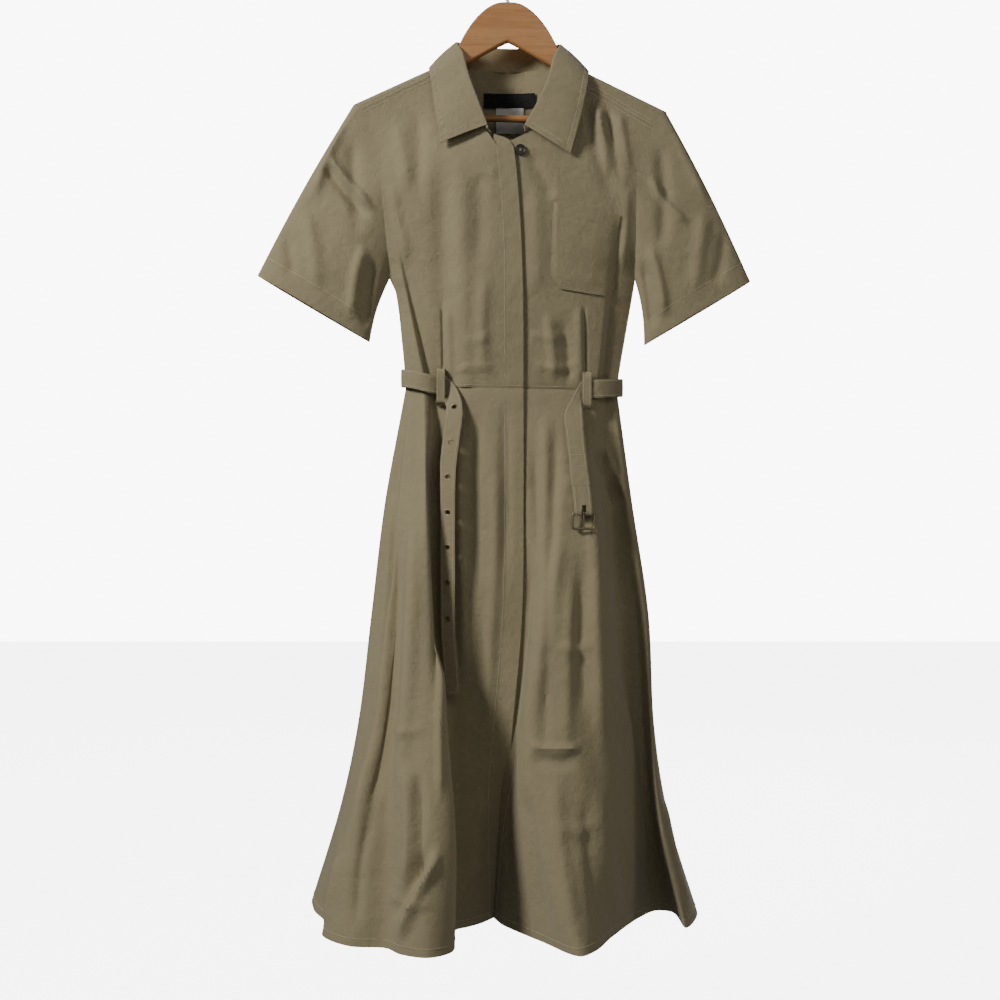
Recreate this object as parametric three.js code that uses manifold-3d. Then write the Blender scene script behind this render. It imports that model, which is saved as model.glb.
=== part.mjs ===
// A shirt dress with short sleeves and a belt, hanging on a wooden hanger.
// Millimetres, +Z up. The front faces -Y. The origin is the inner crown of the hanger's hook.
// Right and left are the wearer's, so the right side is at -X.

import * as THREE from "three";
import { mergeVertices } from "three/addons/utils/BufferGeometryUtils.js";
import Module from "manifold-3d";

const wasm = await Module();
wasm.setup();

// Driving dimensions
const CLOTH = 1.5;
const BAND = 1.0;
const SEAM = 0.3;
const SIDE_SEAM_Y = CLOTH + SEAM / 2;
const NECK_HALF = 88;
const RIDGE_AT_NECK = -142.6;
const SHOULDER_SLOPE = 0.4725;
const SHOULDER_ROUND = 9;
const TILT = 0.0175;
const CHEST_DEPTH = 35;
const WAIST_DEPTH = 27;
const BACK_CHEST_DEPTH = 33;
const BACK_WAIST_DEPTH = 27;
const DEPTH_REACH = 150;
const LOW_FROM = -420;
const WAIST_Z = -573;
const HEM_Z = -1272;
const LAP = 4.2;
const LAP_FADE = 55;
const LAP_FULL_X = -20;
const NECK_BULGE = 20;
const NECK_BULGE_WIDTH = 55;
const BELT_WIDTH = 24;
const BELT_THICK = 1.8;

const CLOTH_LOOK = { color: 0x8f8668, roughness: 0.9, metalness: 0 };
const WOOD_LOOK = { color: 0xb5743f, roughness: 0.45, metalness: 0 };
const STEEL_LOOK = { color: 0xb9bcc0, roughness: 0.3, metalness: 1 };
const BRONZE_LOOK = { color: 0x6d6247, roughness: 0.4, metalness: 0.9 };
const BUTTON_LOOK = { color: 0x241c17, roughness: 0.35, metalness: 0 };
const LABEL_LOOK = { color: 0x15130f, roughness: 0.8, metalness: 0 };
const CARE_LOOK = { color: 0xd9d9d6, roughness: 0.8, metalness: 0 };

const garment = new THREE.Group();

function piece(name, geometry, look) {
  const mesh = new THREE.Mesh(geometry, new THREE.MeshStandardMaterial(look));
  mesh.name = name;
  garment.add(mesh);
  return mesh;
}

// Numbers and curves

const lerp = THREE.MathUtils.lerp;
const clamp = THREE.MathUtils.clamp;

function smooth(t) {
  const c = clamp(t, 0, 1);
  return c * c * (3 - 2 * c);
}

// A smooth curve through values at knots, falling or rising, held level past both ends.
function through(knots, values, at) {
  const down = knots[0] > knots[knots.length - 1];
  const xs = down ? knots.map((k) => -k) : knots;
  const x = clamp(down ? -at : at, xs[0], xs[xs.length - 1]);
  const last = xs.length - 1;
  let i = 0;
  while (i < last - 1 && x > xs[i + 1]) i += 1;
  const slope = (k) => {
    const a = Math.max(k - 1, 0);
    const b = Math.min(k + 1, last);
    return (values[b] - values[a]) / (xs[b] - xs[a]);
  };
  const h = xs[i + 1] - xs[i];
  const t = (x - xs[i]) / h;
  const t2 = t * t;
  const t3 = t2 * t;
  return (
    (2 * t3 - 3 * t2 + 1) * values[i] +
    (t3 - 2 * t2 + t) * h * slope(i) +
    (3 * t2 - 2 * t3) * values[i + 1] +
    (t3 - t2) * h * slope(i + 1)
  );
}

// Values between the entries of a list, by straight lines: at 2.5, halfway from entry 2 to entry 3.
function between(list, at) {
  const i = clamp(Math.floor(at), 0, list.length - 2);
  const t = at - i;
  return list[i].map((v, k) => lerp(v, list[i + 1][k], t));
}

// Each gap of a list cut into the same number of steps, as positions in that list.
function steps(count, cuts) {
  const places = [];
  for (let i = 0; i <= (count - 1) * cuts; i += 1) places.push(i / cuts);
  return places;
}

function evenly(count) {
  return Array.from({ length: count + 1 }, (_, i) => i / count);
}

// Walls of cloth

// The direction that each point of a grid faces: across its rows by along its columns.
function facing(grid, closed) {
  const rows = grid.length;
  const cols = grid[0].length;
  return grid.map((row, i) =>
    row.map((_, j) => {
      const up = grid[Math.max(i - 1, 0)][j];
      const down = grid[Math.min(i + 1, rows - 1)][j];
      const before = closed ? (j + cols - 1) % cols : Math.max(j - 1, 0);
      const after = closed ? (j + 1) % cols : Math.min(j + 1, cols - 1);
      const along = down.clone().sub(up);
      const across = row[after].clone().sub(row[before]);
      return along.cross(across).normalize();
    }),
  );
}

// The grid moved along its own facing.
function moved(grid, distance, closed = false) {
  const normals = facing(grid, closed);
  return grid.map((row, i) => row.map((p, j) => p.clone().addScaledVector(normals[i][j], distance)));
}

function volumeOf(points, faces) {
  let sum = 0;
  for (const [a, b, c] of faces) {
    sum += points[a].dot(points[b].clone().cross(points[c]));
  }
  return sum / 6;
}

function closedGeometry(points, faces) {
  const outward = volumeOf(points, faces) < 0 ? faces.map(([a, b, c]) => [a, c, b]) : faces;
  const geometry = new THREE.BufferGeometry();
  geometry.setAttribute(
    "position",
    new THREE.Float32BufferAttribute(points.flatMap((p) => [p.x, p.y, p.z]), 3),
  );
  geometry.setIndex(outward.flat());
  geometry.computeVertexNormals();
  return geometry;
}

// A wall between two grids of the same size, closed round its rim.
function wallBetween(outer, inner, closed = false) {
  const rows = outer.length;
  const cols = outer[0].length;
  const points = [...outer.flat(), ...inner.flat()];
  const half = rows * cols;
  const at = (i, j) => i * cols + (j % cols);
  const faces = [];
  const quad = (a, b, c, d) => faces.push([a, b, c], [a, c, d]);
  const across = closed ? cols : cols - 1;
  for (let i = 0; i < rows - 1; i += 1) {
    for (let j = 0; j < across; j += 1) {
      const corners = [at(i, j), at(i, j + 1), at(i + 1, j + 1), at(i + 1, j)];
      quad(...corners);
      const [a, b, c, d] = corners.map((k) => k + half);
      faces.push([a, c, b], [a, d, c]);
    }
  }
  const rim = (a, b) => quad(b, a, a + half, b + half);
  for (let j = 0; j < across; j += 1) {
    rim(at(0, j), at(0, j + 1));
    rim(at(rows - 1, j + 1), at(rows - 1, j));
  }
  if (!closed) {
    for (let i = 0; i < rows - 1; i += 1) {
      rim(at(i, cols - 1), at(i + 1, cols - 1));
      rim(at(i + 1, 0), at(i, 0));
    }
  }
  return closedGeometry(points, faces);
}

// A wall whose outer face is the grid. A positive side takes its thickness along the facing.
function wall(grid, thickness, side, closed = false) {
  return wallBetween(grid, moved(grid, side * thickness, closed), closed);
}

function solidOf(geometry) {
  const bare = geometry.index ? geometry.clone() : geometry;
  bare.deleteAttribute("normal");
  bare.deleteAttribute("uv");
  const merged = mergeVertices(bare, 1e-3);
  return new wasm.Manifold(
    new wasm.Mesh({
      numProp: 3,
      vertProperties: merged.attributes.position.array,
      triVerts: new Uint32Array(merged.index.array),
    }),
  );
}

function geometryOf(solid) {
  const mesh = solid.getMesh();
  const geometry = new THREE.BufferGeometry();
  geometry.setAttribute("position", new THREE.BufferAttribute(mesh.vertProperties, 3));
  geometry.setIndex(new THREE.BufferAttribute(mesh.triVerts, 1));
  geometry.computeVertexNormals();
  return geometry;
}

// Armholes, from the end of the shoulder's ridge to the underarm, as x and z

const ARMHOLES = {
  right: [
    [-206, -195], [-194, -204], [-180, -240], [-172, -278],
    [-167, -324], [-163, -368], [-160, -402], [-158, -424]],
  left: [
    [210.5, -203.8], [192, -226], [178, -258], [171, -292],
    [170, -334], [170, -372], [169, -402], [169, -424]],
};

// The body's outline on each side: the armhole, then the side seam's places below it

const SIDE_SEAMS = {
  right: [[-149, -446], [-140, -524], [-136, -573]],
  left: [[166, -446], [148, -550], [145, -575]],
};

function outlineOf(side) {
  const places = [...ARMHOLES[side], ...SIDE_SEAMS[side]];
  return { z: places.map(([, z]) => z), half: places.map(([x]) => Math.abs(x)) };
}

const OUTLINES = { right: outlineOf("right"), left: outlineOf("left") };

function halfWidth(side, z) {
  return through(OUTLINES[side].z, OUTLINES[side].half, z);
}

const EDGE_DEPTH = {
  z: [-195, -240, -290, -340, -390, -424, -575],
  y: [9, 17, 22, 20, 12, SIDE_SEAM_Y, SIDE_SEAM_Y],
};

function ridgeZ(x) {
  return RIDGE_AT_NECK - SHOULDER_SLOPE * (Math.abs(x) - NECK_HALF) - TILT * x;
}

function waistZ(x) {
  return WAIST_Z - TILT * x;
}

// The body's folds. A step has a crest on one side of its line and a recess on the other, toward
// the centre or the side. A soft line is a plain ridge or valley. Forward is toward -Y.

const BODY_FOLDS = [
  { name: "right side fold", x: [-153, -105], z: [-350, -573], grows: 130,
    crest: 9, back: 12, crestWide: 18, backWide: 15, crestSide: -1 },
  { name: "left side fold", x: [138, 121], z: [-400, -573], grows: 110,
    crest: 7, back: 13, crestWide: 22, backWide: 12, crestSide: -1 },
  { name: "below right collar point", x: [-88, -84], z: [-250, -573], grows: 80, forward: -5, wide: 14 },
  { name: "right front ridge", x: [-64, -58], z: [-260, -573], grows: 80, forward: 4, wide: 13 },
  { name: "left shoulder crease", x: [132, 164], z: [-235, -330], grows: 35, forward: 4, wide: 9 },
  { name: "left shoulder hollow", x: [112, 140], z: [-225, -340], grows: 35, forward: -4, wide: 11 },
];

function foldForward(fold, x, z) {
  const t = (z - fold.z[0]) / (fold.z[1] - fold.z[0]);
  if (t < 0 || t > 1.05) return 0;
  const full = smooth(((fold.z[0] - z) / fold.grows));
  const ending = fold.z[1] > WAIST_Z + 1 ? smooth((1 - t) * 2.5) : 1;
  const d = x - lerp(fold.x[0], fold.x[1], t);
  if (fold.forward !== undefined) {
    return full * ending * fold.forward * Math.exp(-((d / fold.wide) ** 2));
  }
  const onCrest = fold.crestSide * d;
  const toCrest = 0.5 + 0.5 * Math.tanh(onCrest / 2.5);
  const crest = fold.crest * Math.exp(-Math.max(onCrest, 0) / fold.crestWide);
  const back = fold.back * Math.exp(-Math.max(-onCrest, 0) / fold.backWide);
  return full * ending * (toCrest * crest - (1 - toCrest) * back);
}

// How far the outer face stands from the middle plane. Front and back are rounded over the
// shoulder's ridge and meet the other at the side seam.
function bodyDepth(front, x, z) {
  const t = Math.min(Math.abs(x) / halfWidth(x < 0 ? "right" : "left", z), 1);
  const drop = ridgeZ(x) - z;
  const low = smooth((z - LOW_FROM) / (WAIST_Z - LOW_FROM));
  const chest = front ? CHEST_DEPTH : BACK_CHEST_DEPTH;
  const waist = front ? WAIST_DEPTH : BACK_WAIST_DEPTH;
  const edge = through(EDGE_DEPTH.z, EDGE_DEPTH.y, z);
  const across = t ** 3;
  const full = lerp(chest, waist, low) * (1 - across) + edge * across;
  const lowered = clamp(drop / SHOULDER_ROUND, 0, 1);
  const over = SHOULDER_ROUND * Math.sqrt(1 - (1 - lowered) ** 2);
  const reached = smooth((drop - SHOULDER_ROUND) / DEPTH_REACH);
  let depth = over + (full - SHOULDER_ROUND) * reached;
  if (front) {
    const away = 1 - t ** 6;
    for (const fold of BODY_FOLDS) depth += away * foldForward(fold, x, z);
  } else {
    depth += NECK_BULGE * Math.exp(-((x / NECK_BULGE_WIDTH) ** 2)) * (1 - reached);
  }
  return Math.max(depth, Math.min(SIDE_SEAM_Y, over));
}

function frontY(x, z) {
  return -bodyDepth(true, x, z);
}

// The right front laps over the left, so it stands further out beside its edge.
function rightFrontY(x, z) {
  return frontY(x, z) - LAP * smooth((x - LAP_FULL_X + LAP_FADE) / LAP_FADE);
}

function backY(x, z) {
  return bodyDepth(false, x, z);
}

// Front bodice: columns from the neck, shoulder seam and armhole down to the waist

const RIGHT_FRONT = [
  { at: "front edge", top: [8, -264], waist: 20 },
  { at: "curled corner", top: [-14, -257], waist: 6 },
  { at: "collar end", top: [-25, -242], waist: -6 },
  { at: "neck", top: [-46, -214], waist: -20 },
  { at: "neck side", top: [-68, -186], waist: -33 },
  { at: "neck point", top: [-87, -153], waist: -48 },
  { at: "shoulder inside", top: [-122, -170], waist: -64 },
  { at: "shoulder outside", top: [-158, -187], waist: -78 },
  { at: "shoulder end", top: ARMHOLES.right[1], waist: -88 },
  { at: "armhole high", top: ARMHOLES.right[2], waist: -95 },
  { at: "armhole", top: ARMHOLES.right[3], waist: -100 },
  { at: "fold", top: ARMHOLES.right[4], waist: -104 },
  { at: "armhole low", top: ARMHOLES.right[5], waist: -109 },
  { at: "armhole foot", top: ARMHOLES.right[6], waist: -121 },
  { at: "underarm", top: ARMHOLES.right[7], waist: -136 },
];

const LEFT_FRONT = [
  { at: "under edge", top: [-16, -252], waist: -5 },
  { at: "under placket", top: [3, -250], waist: 8 },
  { at: "collar end", top: [22, -241], waist: 20 },
  { at: "neck", top: [46, -216], waist: 33 },
  { at: "neck side", top: [68, -192], waist: 46 },
  { at: "neck point", top: [87, -166], waist: 58 },
  { at: "shoulder inside", top: [122, -185], waist: 72 },
  { at: "shoulder outside", top: [157, -206], waist: 88 },
  { at: "shoulder end", top: ARMHOLES.left[1], waist: 101 },
  { at: "armhole high", top: ARMHOLES.left[2], waist: 110 },
  { at: "armhole", top: ARMHOLES.left[3], waist: 116 },
  { at: "armhole middle", top: ARMHOLES.left[4], waist: 120 },
  { at: "armhole low", top: ARMHOLES.left[5], waist: 124 },
  { at: "armhole foot", top: ARMHOLES.left[6], waist: 132 },
  { at: "underarm", top: ARMHOLES.left[7], waist: 145 },
];

const FRONT_ROWS = 11;
const SLOPE_STEP = 1;

// A place down a column. Near the centre its x eases to its place at the waist, and near the
// armhole it keeps a falling share of the body's width, so that the columns never cross.
function columnPlace(side, [xTop, zTop, xWaist], v) {
  const zLow = waistZ(xWaist) + SEAM / 2;
  const z = lerp(zTop, zLow, v);
  const widest = Math.abs(ARMHOLES[side][1][0]);
  const width = (at) => Math.min(halfWidth(side, at), widest);
  const share = lerp(xTop / width(zTop), xWaist / width(zLow), 0.35 * smooth(v) + 0.65 * v);
  const eased = lerp(xTop, xWaist, 1 - (1 - v) ** 3);
  const outer = smooth((Math.abs(xTop) / widest - 0.3) / 0.6);
  return [lerp(eased, share * width(z), outer), z];
}

function frontGrid(side, columns, yAt, cuts = 2, rows = FRONT_ROWS) {
  const list = columns.map((c) => [...c.top, c.waist]);
  return evenly(rows).map((v) =>
    steps(list.length, cuts).map((place) => {
      const [x, z] = columnPlace(side, between(list, place), v);
      return new THREE.Vector3(x, yAt(x, z), z);
    }),
  );
}

// A front's inner face, straight through the body from its outer one, so that the two never meet.
const frontInner = (grid) => grid.map((row) => row.map((p) => p.clone().add(new THREE.Vector3(0, CLOTH, 0))));

const rightFront = frontGrid("right", RIGHT_FRONT, rightFrontY);
const leftFront = frontGrid("left", LEFT_FRONT, frontY);
piece("front_right_bodice", wallBetween(rightFront, frontInner(rightFront)), CLOTH_LOOK);
piece("front_left_bodice", wallBetween(leftFront, frontInner(leftFront)), CLOTH_LOOK);

// Back bodice: columns from the armholes, forward shoulder seams and neck down to the waist.
// A column's top is the distance past the shoulder's ridge: negative is in front of it.

const QUARTER = (SHOULDER_ROUND * Math.PI) / 2;
const BACK_HALF = [
  { at: "underarm", armhole: 7, waist: 1.0 },
  { at: "armhole foot", armhole: 6, waist: 0.9 },
  { at: "armhole low", armhole: 5, waist: 0.84 },
  { at: "armhole middle", armhole: 4, waist: 0.79 },
  { at: "armhole", armhole: 3, waist: 0.74 },
  { at: "armhole high", armhole: 2, waist: 0.7 },
  { at: "behind ridge", armhole: 1, waist: 0.67 },
  { at: "ridge end", armhole: 0, waist: 0.64 },
  { at: "shoulder end", seam: true, waist: 0.6 },
  { at: "shoulder outside", seam: true, waist: 0.5 },
  { at: "shoulder inside", seam: true, waist: 0.4 },
  { at: "neck point", seam: true, waist: 0.32 },
  { at: "neck before ridge", x: 86.6, past: -8, waist: 0.305 },
  { at: "neck ridge", x: 85.8, past: 0, waist: 0.29 },
  { at: "neck behind ridge", x: 80, past: 11, waist: 0.25 },
  { at: "neck side", x: 56, z: -144, waist: 0.16 },
  { at: "neck", x: 28, z: -143, waist: 0.08 },
];
const CENTRE_BACK_NECK_Z = -143;
const WAIST_HALF = { right: 136, left: 145 };
const FRONTS = { right: RIGHT_FRONT, left: LEFT_FRONT };

// How far below the ridge a point is, by its distance along the cloth past the ridge.
function dropAt(past) {
  const p = Math.abs(past);
  return p < QUARTER ? SHOULDER_ROUND * (1 - Math.cos(p / SHOULDER_ROUND)) : SHOULDER_ROUND + p - QUARTER;
}

// The distance past the ridge at which the cloth has come down by a drop.
function pastAt(drop) {
  if (drop > SHOULDER_ROUND) return drop - SHOULDER_ROUND + QUARTER;
  return SHOULDER_ROUND * Math.acos(1 - Math.max(drop, 0) / SHOULDER_ROUND);
}

function backColumn(row, side) {
  const sign = side === "right" ? -1 : 1;
  const waist = sign * row.waist * WAIST_HALF[side];
  if (row.seam) {
    const [x, z] = FRONTS[side].find((column) => column.at === row.at).top;
    return [x, -pastAt(ridgeZ(x) - z - SEAM), waist];
  }
  const [x, z] = row.armhole === undefined ? [sign * row.x, row.z] : ARMHOLES[side][row.armhole];
  return [x, row.past ?? pastAt(ridgeZ(x) - z), waist];
}

const BACK_COLUMNS = [
  ...BACK_HALF.map((row) => backColumn(row, "right")),
  [0, pastAt(ridgeZ(0) - CENTRE_BACK_NECK_Z), 0],
  ...[...BACK_HALF].reverse().map((row) => backColumn(row, "left")),
];

function backPoint(x, past) {
  const z = ridgeZ(x) - dropAt(past);
  const y = past < 0 ? frontY(x, z) : backY(x, z);
  return new THREE.Vector3(x, y, z);
}

// Rows of the back stand close together over the shoulder's ridge and apart below it.
const BACK_STATIONS = [-30, -12, -8, -4, 0, 4, 8, 12, 18, 32, 55, 90, 135, 185, 240, 300, 360, 500];
const STATION_STEP = 1.2;
const DRAW_IN = 0.1;
const DRAW_IN_REACH = 25;
const DRAW_IN_FROM = 0.6;
const DRAW_IN_FADE = 0.35;
const NARROWING = 1.6;
const SETTLING_TURNS = 12;
const RIDGE_NEAR = 8;
const RIDGE_FADE = 10;

// A place down a column of the back keeps a falling share of the body's width at its height.
function backPlace([xTop, pastTop, xWaist], past) {
  const side = xTop < 0 ? "right" : "left";
  const widest = Math.abs(ARMHOLES[side][0][0]);
  const width = (x, at) => (at < 0 ? widest : halfWidth(side, ridgeZ(x) - dropAt(at)));
  const pastWaist = pastAt(ridgeZ(xWaist) - waistZ(xWaist) - SEAM / 2);
  const down = (past - pastTop) / (pastWaist - pastTop);
  const shareLow = xWaist / width(xWaist, pastWaist);
  const shareTop = xTop / width(xTop, pastTop);
  const outer = smooth((Math.abs(shareTop) - DRAW_IN_FROM) / DRAW_IN_FADE);
  const drawn = outer * DRAW_IN * (1 - Math.abs(shareLow)) * smooth((past - pastTop) / DRAW_IN_REACH);
  const share = lerp(shareTop, shareLow, down ** NARROWING) * (1 - drawn * (1 - down));
  let x = lerp(xTop, xWaist, down);
  for (let turn = 0; turn < SETTLING_TURNS; turn += 1) x = share * width(x, past);
  return [x, past];
}

// The way into the body at a place of the back: square to its surface over the shoulder's ridge, and
// straight through the body away from it, so that the wall's faces never meet.
function backInward(x, past) {
  const across = backPoint(x + SLOPE_STEP, past).sub(backPoint(x - SLOPE_STEP, past));
  const along = backPoint(x, past + SLOPE_STEP).sub(backPoint(x, past - SLOPE_STEP));
  const square = along.cross(across).normalize();
  const straight = new THREE.Vector3(0, past < 0 ? 1 : -1, 0);
  return square.lerp(straight, smooth((Math.abs(past) - RIDGE_NEAR) / RIDGE_FADE)).normalize();
}

function backGrid(cuts = 1) {
  const last = BACK_STATIONS.length - 1;
  return BACK_STATIONS.map((station, k) =>
    steps(BACK_COLUMNS.length, cuts).map((place) => {
      const column = between(BACK_COLUMNS, place);
      const [, pastTop, xWaist] = column;
      if (k === 0) return backPlace(column, pastTop);
      if (k === last) return backPlace(column, pastAt(ridgeZ(xWaist) - waistZ(xWaist) - SEAM / 2));
      return backPlace(column, Math.max(station, pastTop + STATION_STEP * k));
    }),
  );
}

const backPlaces = backGrid();
const backOuter = backPlaces.map((row) => row.map(([x, past]) => backPoint(x, past)));
const backInner = backPlaces.map((row) =>
  row.map(([x, past]) => backPoint(x, past).addScaledVector(backInward(x, past), CLOTH)),
);
piece("back_bodice", wallBetween(backOuter, backInner), CLOTH_LOOK);

// Buttonhole band inside the right front's edge. Its top stands a little above the front's own.

const FLY_INSET = 0.8;
const FLY_BEHIND = CLOTH + 0.7;
const FLY_TOP = [
  { out: 0, z: -259 },
  { out: 6, z: -250 },
  { out: 14, z: -246 },
  { out: 26, z: -242 },
];

function frontEdgeX(z) {
  const [edge] = RIGHT_FRONT;
  const v = clamp((z - edge.top[1]) / (WAIST_Z - edge.top[1]), 0, 1);
  return columnPlace("right", [...edge.top, edge.waist], v)[0];
}

function flyGrid(rows = 12) {
  return evenly(rows).map((v) =>
    steps(FLY_TOP.length, 1).map((place) => {
      const top = FLY_TOP[place];
      const zLow = WAIST_Z + SEAM;
      const z = lerp(top.z, zLow, v);
      const x = frontEdgeX(z) - FLY_INSET - top.out;
      return new THREE.Vector3(x, rightFrontY(x, z) + FLY_BEHIND, z);
    }),
  );
}

piece("fly_band_bodice", wall(flyGrid(), BAND, 1), CLOTH_LOOK);

// Skirt: lines down its ridges and valleys, in order from the right front's edge round the back
// to the left front's edge. Each line has its x at the waist and its x and y at lower levels.

const LEVELS = { hip: -720, thigh: -870, knee: -1020, calf: -1145, hem: HEM_Z };

const SKIRT_LINES = [
  { line: "right front edge", waist: 20, hip: [20, -38], thigh: [18, -45],
    knee: [5, -48], calf: [-5, -20], hem: [-12, 0] },
  { line: "dark valley", waist: -30, hip: [-30, -37], thigh: [-28, -42],
    knee: [-30, -42], calf: [-32, -38], hem: [-34, -36] },
  { line: "behind strap", waist: -68, hip: [-66, -31], thigh: [-62, -37],
    knee: [-54, -42], calf: [-50, -46], hem: [-52, -54] },
  { line: "valley beside crest", waist: -97, hip: [-93, -24], thigh: [-92, -32],
    knee: [-81, -46], calf: [-72, -56], hem: [-68, -68] },
  { line: "crest", waist: -106, hip: [-98, -58], thigh: [-90, -88],
    knee: [-77, -118], calf: [-67, -143], hem: [-69, -156] },
  { line: "bulge", waist: -111, hip: [-106, -63], thigh: [-103, -90],
    knee: [-97, -123], calf: [-95, -157], hem: [-97, -179] },
  { line: "right ridge", waist: -115, hip: [-114, -54], thigh: [-121, -86],
    knee: [-125, -112], calf: [-125, -140], hem: [-131, -166] },
  { line: "right valley", waist: -119, hip: [-123, -46], thigh: [-136, -66],
    knee: [-146, -86], calf: [-152, -114], hem: [-152, -141] },
  { line: "side ridge", waist: -123, hip: [-133, -42], thigh: [-147, -62],
    knee: [-161, -88], calf: [-188, -112], hem: [-196, -134] },
  { line: "side fold edge", waist: -127, hip: [-142, -36], thigh: [-156, -54],
    knee: [-171, -78], calf: [-207, -94], hem: [-235, -92] },
  { line: "side recess", waist: -131, hip: [-146, -18], thigh: [-155, -26],
    knee: [-168, -38], calf: [-203, -46], hem: [-238, -36] },
  { line: "right side", waist: -136, hip: [-162, -3], thigh: [-180, 3],
    knee: [-198, 14], calf: [-226, 36], hem: [-262, 26] },
  { line: "right back corner", waist: -128, hip: [-158, 26], thigh: [-178, 46],
    knee: [-199, 70], calf: [-228, 100], hem: [-266, 96] },
  { line: "back 1", waist: -102, hip: [-114, 22], thigh: [-128, 30],
    knee: [-146, 44], calf: [-166, 60], hem: [-192, 80] },
  { line: "back 2", waist: -70, hip: [-80, 36], thigh: [-88, 58],
    knee: [-96, 85], calf: [-105, 110], hem: [-118, 130] },
  { line: "back 3", waist: -36, hip: [-40, 28], thigh: [-46, 35],
    knee: [-50, 46], calf: [-53, 60], hem: [-58, 76] },
  { line: "back 4", waist: 0, hip: [0, 40], thigh: [-2, 62],
    knee: [-3, 90], calf: [-4, 114], hem: [-5, 134] },
  { line: "back 5", waist: 36, hip: [40, 30], thigh: [46, 37],
    knee: [51, 50], calf: [55, 65], hem: [60, 80] },
  { line: "back 6", waist: 72, hip: [80, 38], thigh: [90, 57],
    knee: [98, 82], calf: [106, 104], hem: [116, 124] },
  { line: "back 7", waist: 106, hip: [118, 24], thigh: [132, 30],
    knee: [148, 40], calf: [166, 54], hem: [188, 72] },
  { line: "left back corner", waist: 136, hip: [158, 20], thigh: [178, 33],
    knee: [190, 48], calf: [210, 66], hem: [240, 86] },
  { line: "left side", waist: 145, hip: [165, 1], thigh: [187, 3],
    knee: [195, 5], calf: [215, 10], hem: [254, 14] },
  { line: "side strip edge", waist: 140, hip: [158, -18], thigh: [180, -24],
    knee: [188, -27], calf: [200, -40], hem: [229, -58] },
  { line: "strip recess", waist: 135, hip: [146, -16], thigh: [168, -13],
    knee: [178, -8], calf: [192, 2], hem: [219, 14] },
  { line: "left valley", waist: 129, hip: [126, -22], thigh: [150, -24],
    knee: [161, -16], calf: [178, 0], hem: [200, 20] },
  { line: "crest beside valley", waist: 119, hip: [107, -47], thigh: [127, -61],
    knee: [130, -69], calf: [150, -58], hem: [175, -10] },
  { line: "crest shoulder", waist: 106, hip: [95, -51], thigh: [107, -67],
    knee: [106, -80], calf: [124, -94], hem: [131, -96] },
  { line: "broad front", waist: 92, hip: [82, -52], thigh: [84, -71],
    knee: [78, -89], calf: [95, -119], hem: [106, -153] },
  { line: "left ridge", waist: 70, hip: [66, -52], thigh: [46, -75],
    knee: [26, -84], calf: [42, -117], hem: [86, -173] },
  { line: "beside placket", waist: 42, hip: [38, -42], thigh: [32, -56],
    knee: [15, -63], calf: [13, -77], hem: [42, -116] },
  { line: "under placket", waist: 21, hip: [22, -35], thigh: [27, -43],
    knee: [11, -47.5], calf: [1, -48], hem: [-2, -54] },
  { line: "left front edge", waist: -5, hip: [-4, -34.5], thigh: [20.5, -41.5],
    knee: [7.6, -45], calf: [-2.5, -43], hem: [-9, -42] },
];

const lineAt = (name) => SKIRT_LINES.findIndex((row) => row.line === name);
const RIGHT_SIDE = lineAt("right side");
const LEFT_SIDE = lineAt("left side");
const LAST_LINE = SKIRT_LINES.length - 1;

function waistPoint(index) {
  const x = SKIRT_LINES[index].waist;
  const z = waistZ(x);
  if (index === RIGHT_SIDE || index === LEFT_SIDE) return [x, 0];
  if (index < RIGHT_SIDE) return [x, rightFrontY(x, z)];
  if (index > LEFT_SIDE) return [x, frontY(x, z)];
  return [x, backY(x, z)];
}

const LEVEL_Z = [WAIST_Z, ...Object.values(LEVELS)];
const LINE_POINTS = SKIRT_LINES.map((row, index) => [
  waistPoint(index),
  ...Object.keys(LEVELS).map((level) => row[level]),
]);

// A ring of the skirt at one level, as an open curve from the right front's edge to the left's.
function skirtRing(level) {
  const points = LINE_POINTS.map((line) => {
    const x = through(LEVEL_Z, line.map((p) => p[0]), level);
    const y = through(LEVEL_Z, line.map((p) => p[1]), level);
    const down = (WAIST_Z - level) / (WAIST_Z - HEM_Z);
    return new THREE.Vector3(x, y, level - TILT * line[0][0] * (1 - down));
  });
  return new THREE.CatmullRomCurve3(points, false, "centripetal");
}

const SKIRT_ROWS = 14;
const SKIRT_CUTS = 2;

// The whole skirt from edge to edge, as its outer and inner faces.
function skirtFaces(cuts = SKIRT_CUTS, rows = SKIRT_ROWS) {
  const places = steps(SKIRT_LINES.length, cuts);
  const outer = evenly(rows).map((v) => {
    const ring = skirtRing(lerp(WAIST_Z - SEAM / 2, HEM_Z, v));
    return places.map((p) => ring.getPoint(p / LAST_LINE));
  });
  return { outer, inner: moved(outer, CLOTH) };
}

// The columns of a panel between two lines, drawn back by half a seam at each line that is sewn.
function panelOf(faces, first, last, cuts = SKIRT_CUTS) {
  const cut = (grid, shifts) =>
    grid.map((row, i) =>
      row.slice(first * cuts, last * cuts + 1).map((p, j, all) => {
        const out = p.clone();
        if (j === 0 && first > 0) out.add(shifts[i][0]);
        if (j === all.length - 1 && last < LAST_LINE) out.add(shifts[i][1]);
        return out;
      }),
    );
  const alongSeam = (row, at, sign) =>
    row[at + 1].clone().sub(row[at - 1]).setLength((sign * SEAM) / 2);
  const shifts = faces.outer.map((row) => [
    first > 0 ? alongSeam(row, first * cuts, 1) : null,
    last < LAST_LINE ? alongSeam(row, last * cuts, -1) : null,
  ]);
  return { outer: cut(faces.outer, shifts), inner: cut(faces.inner, shifts) };
}

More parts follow.
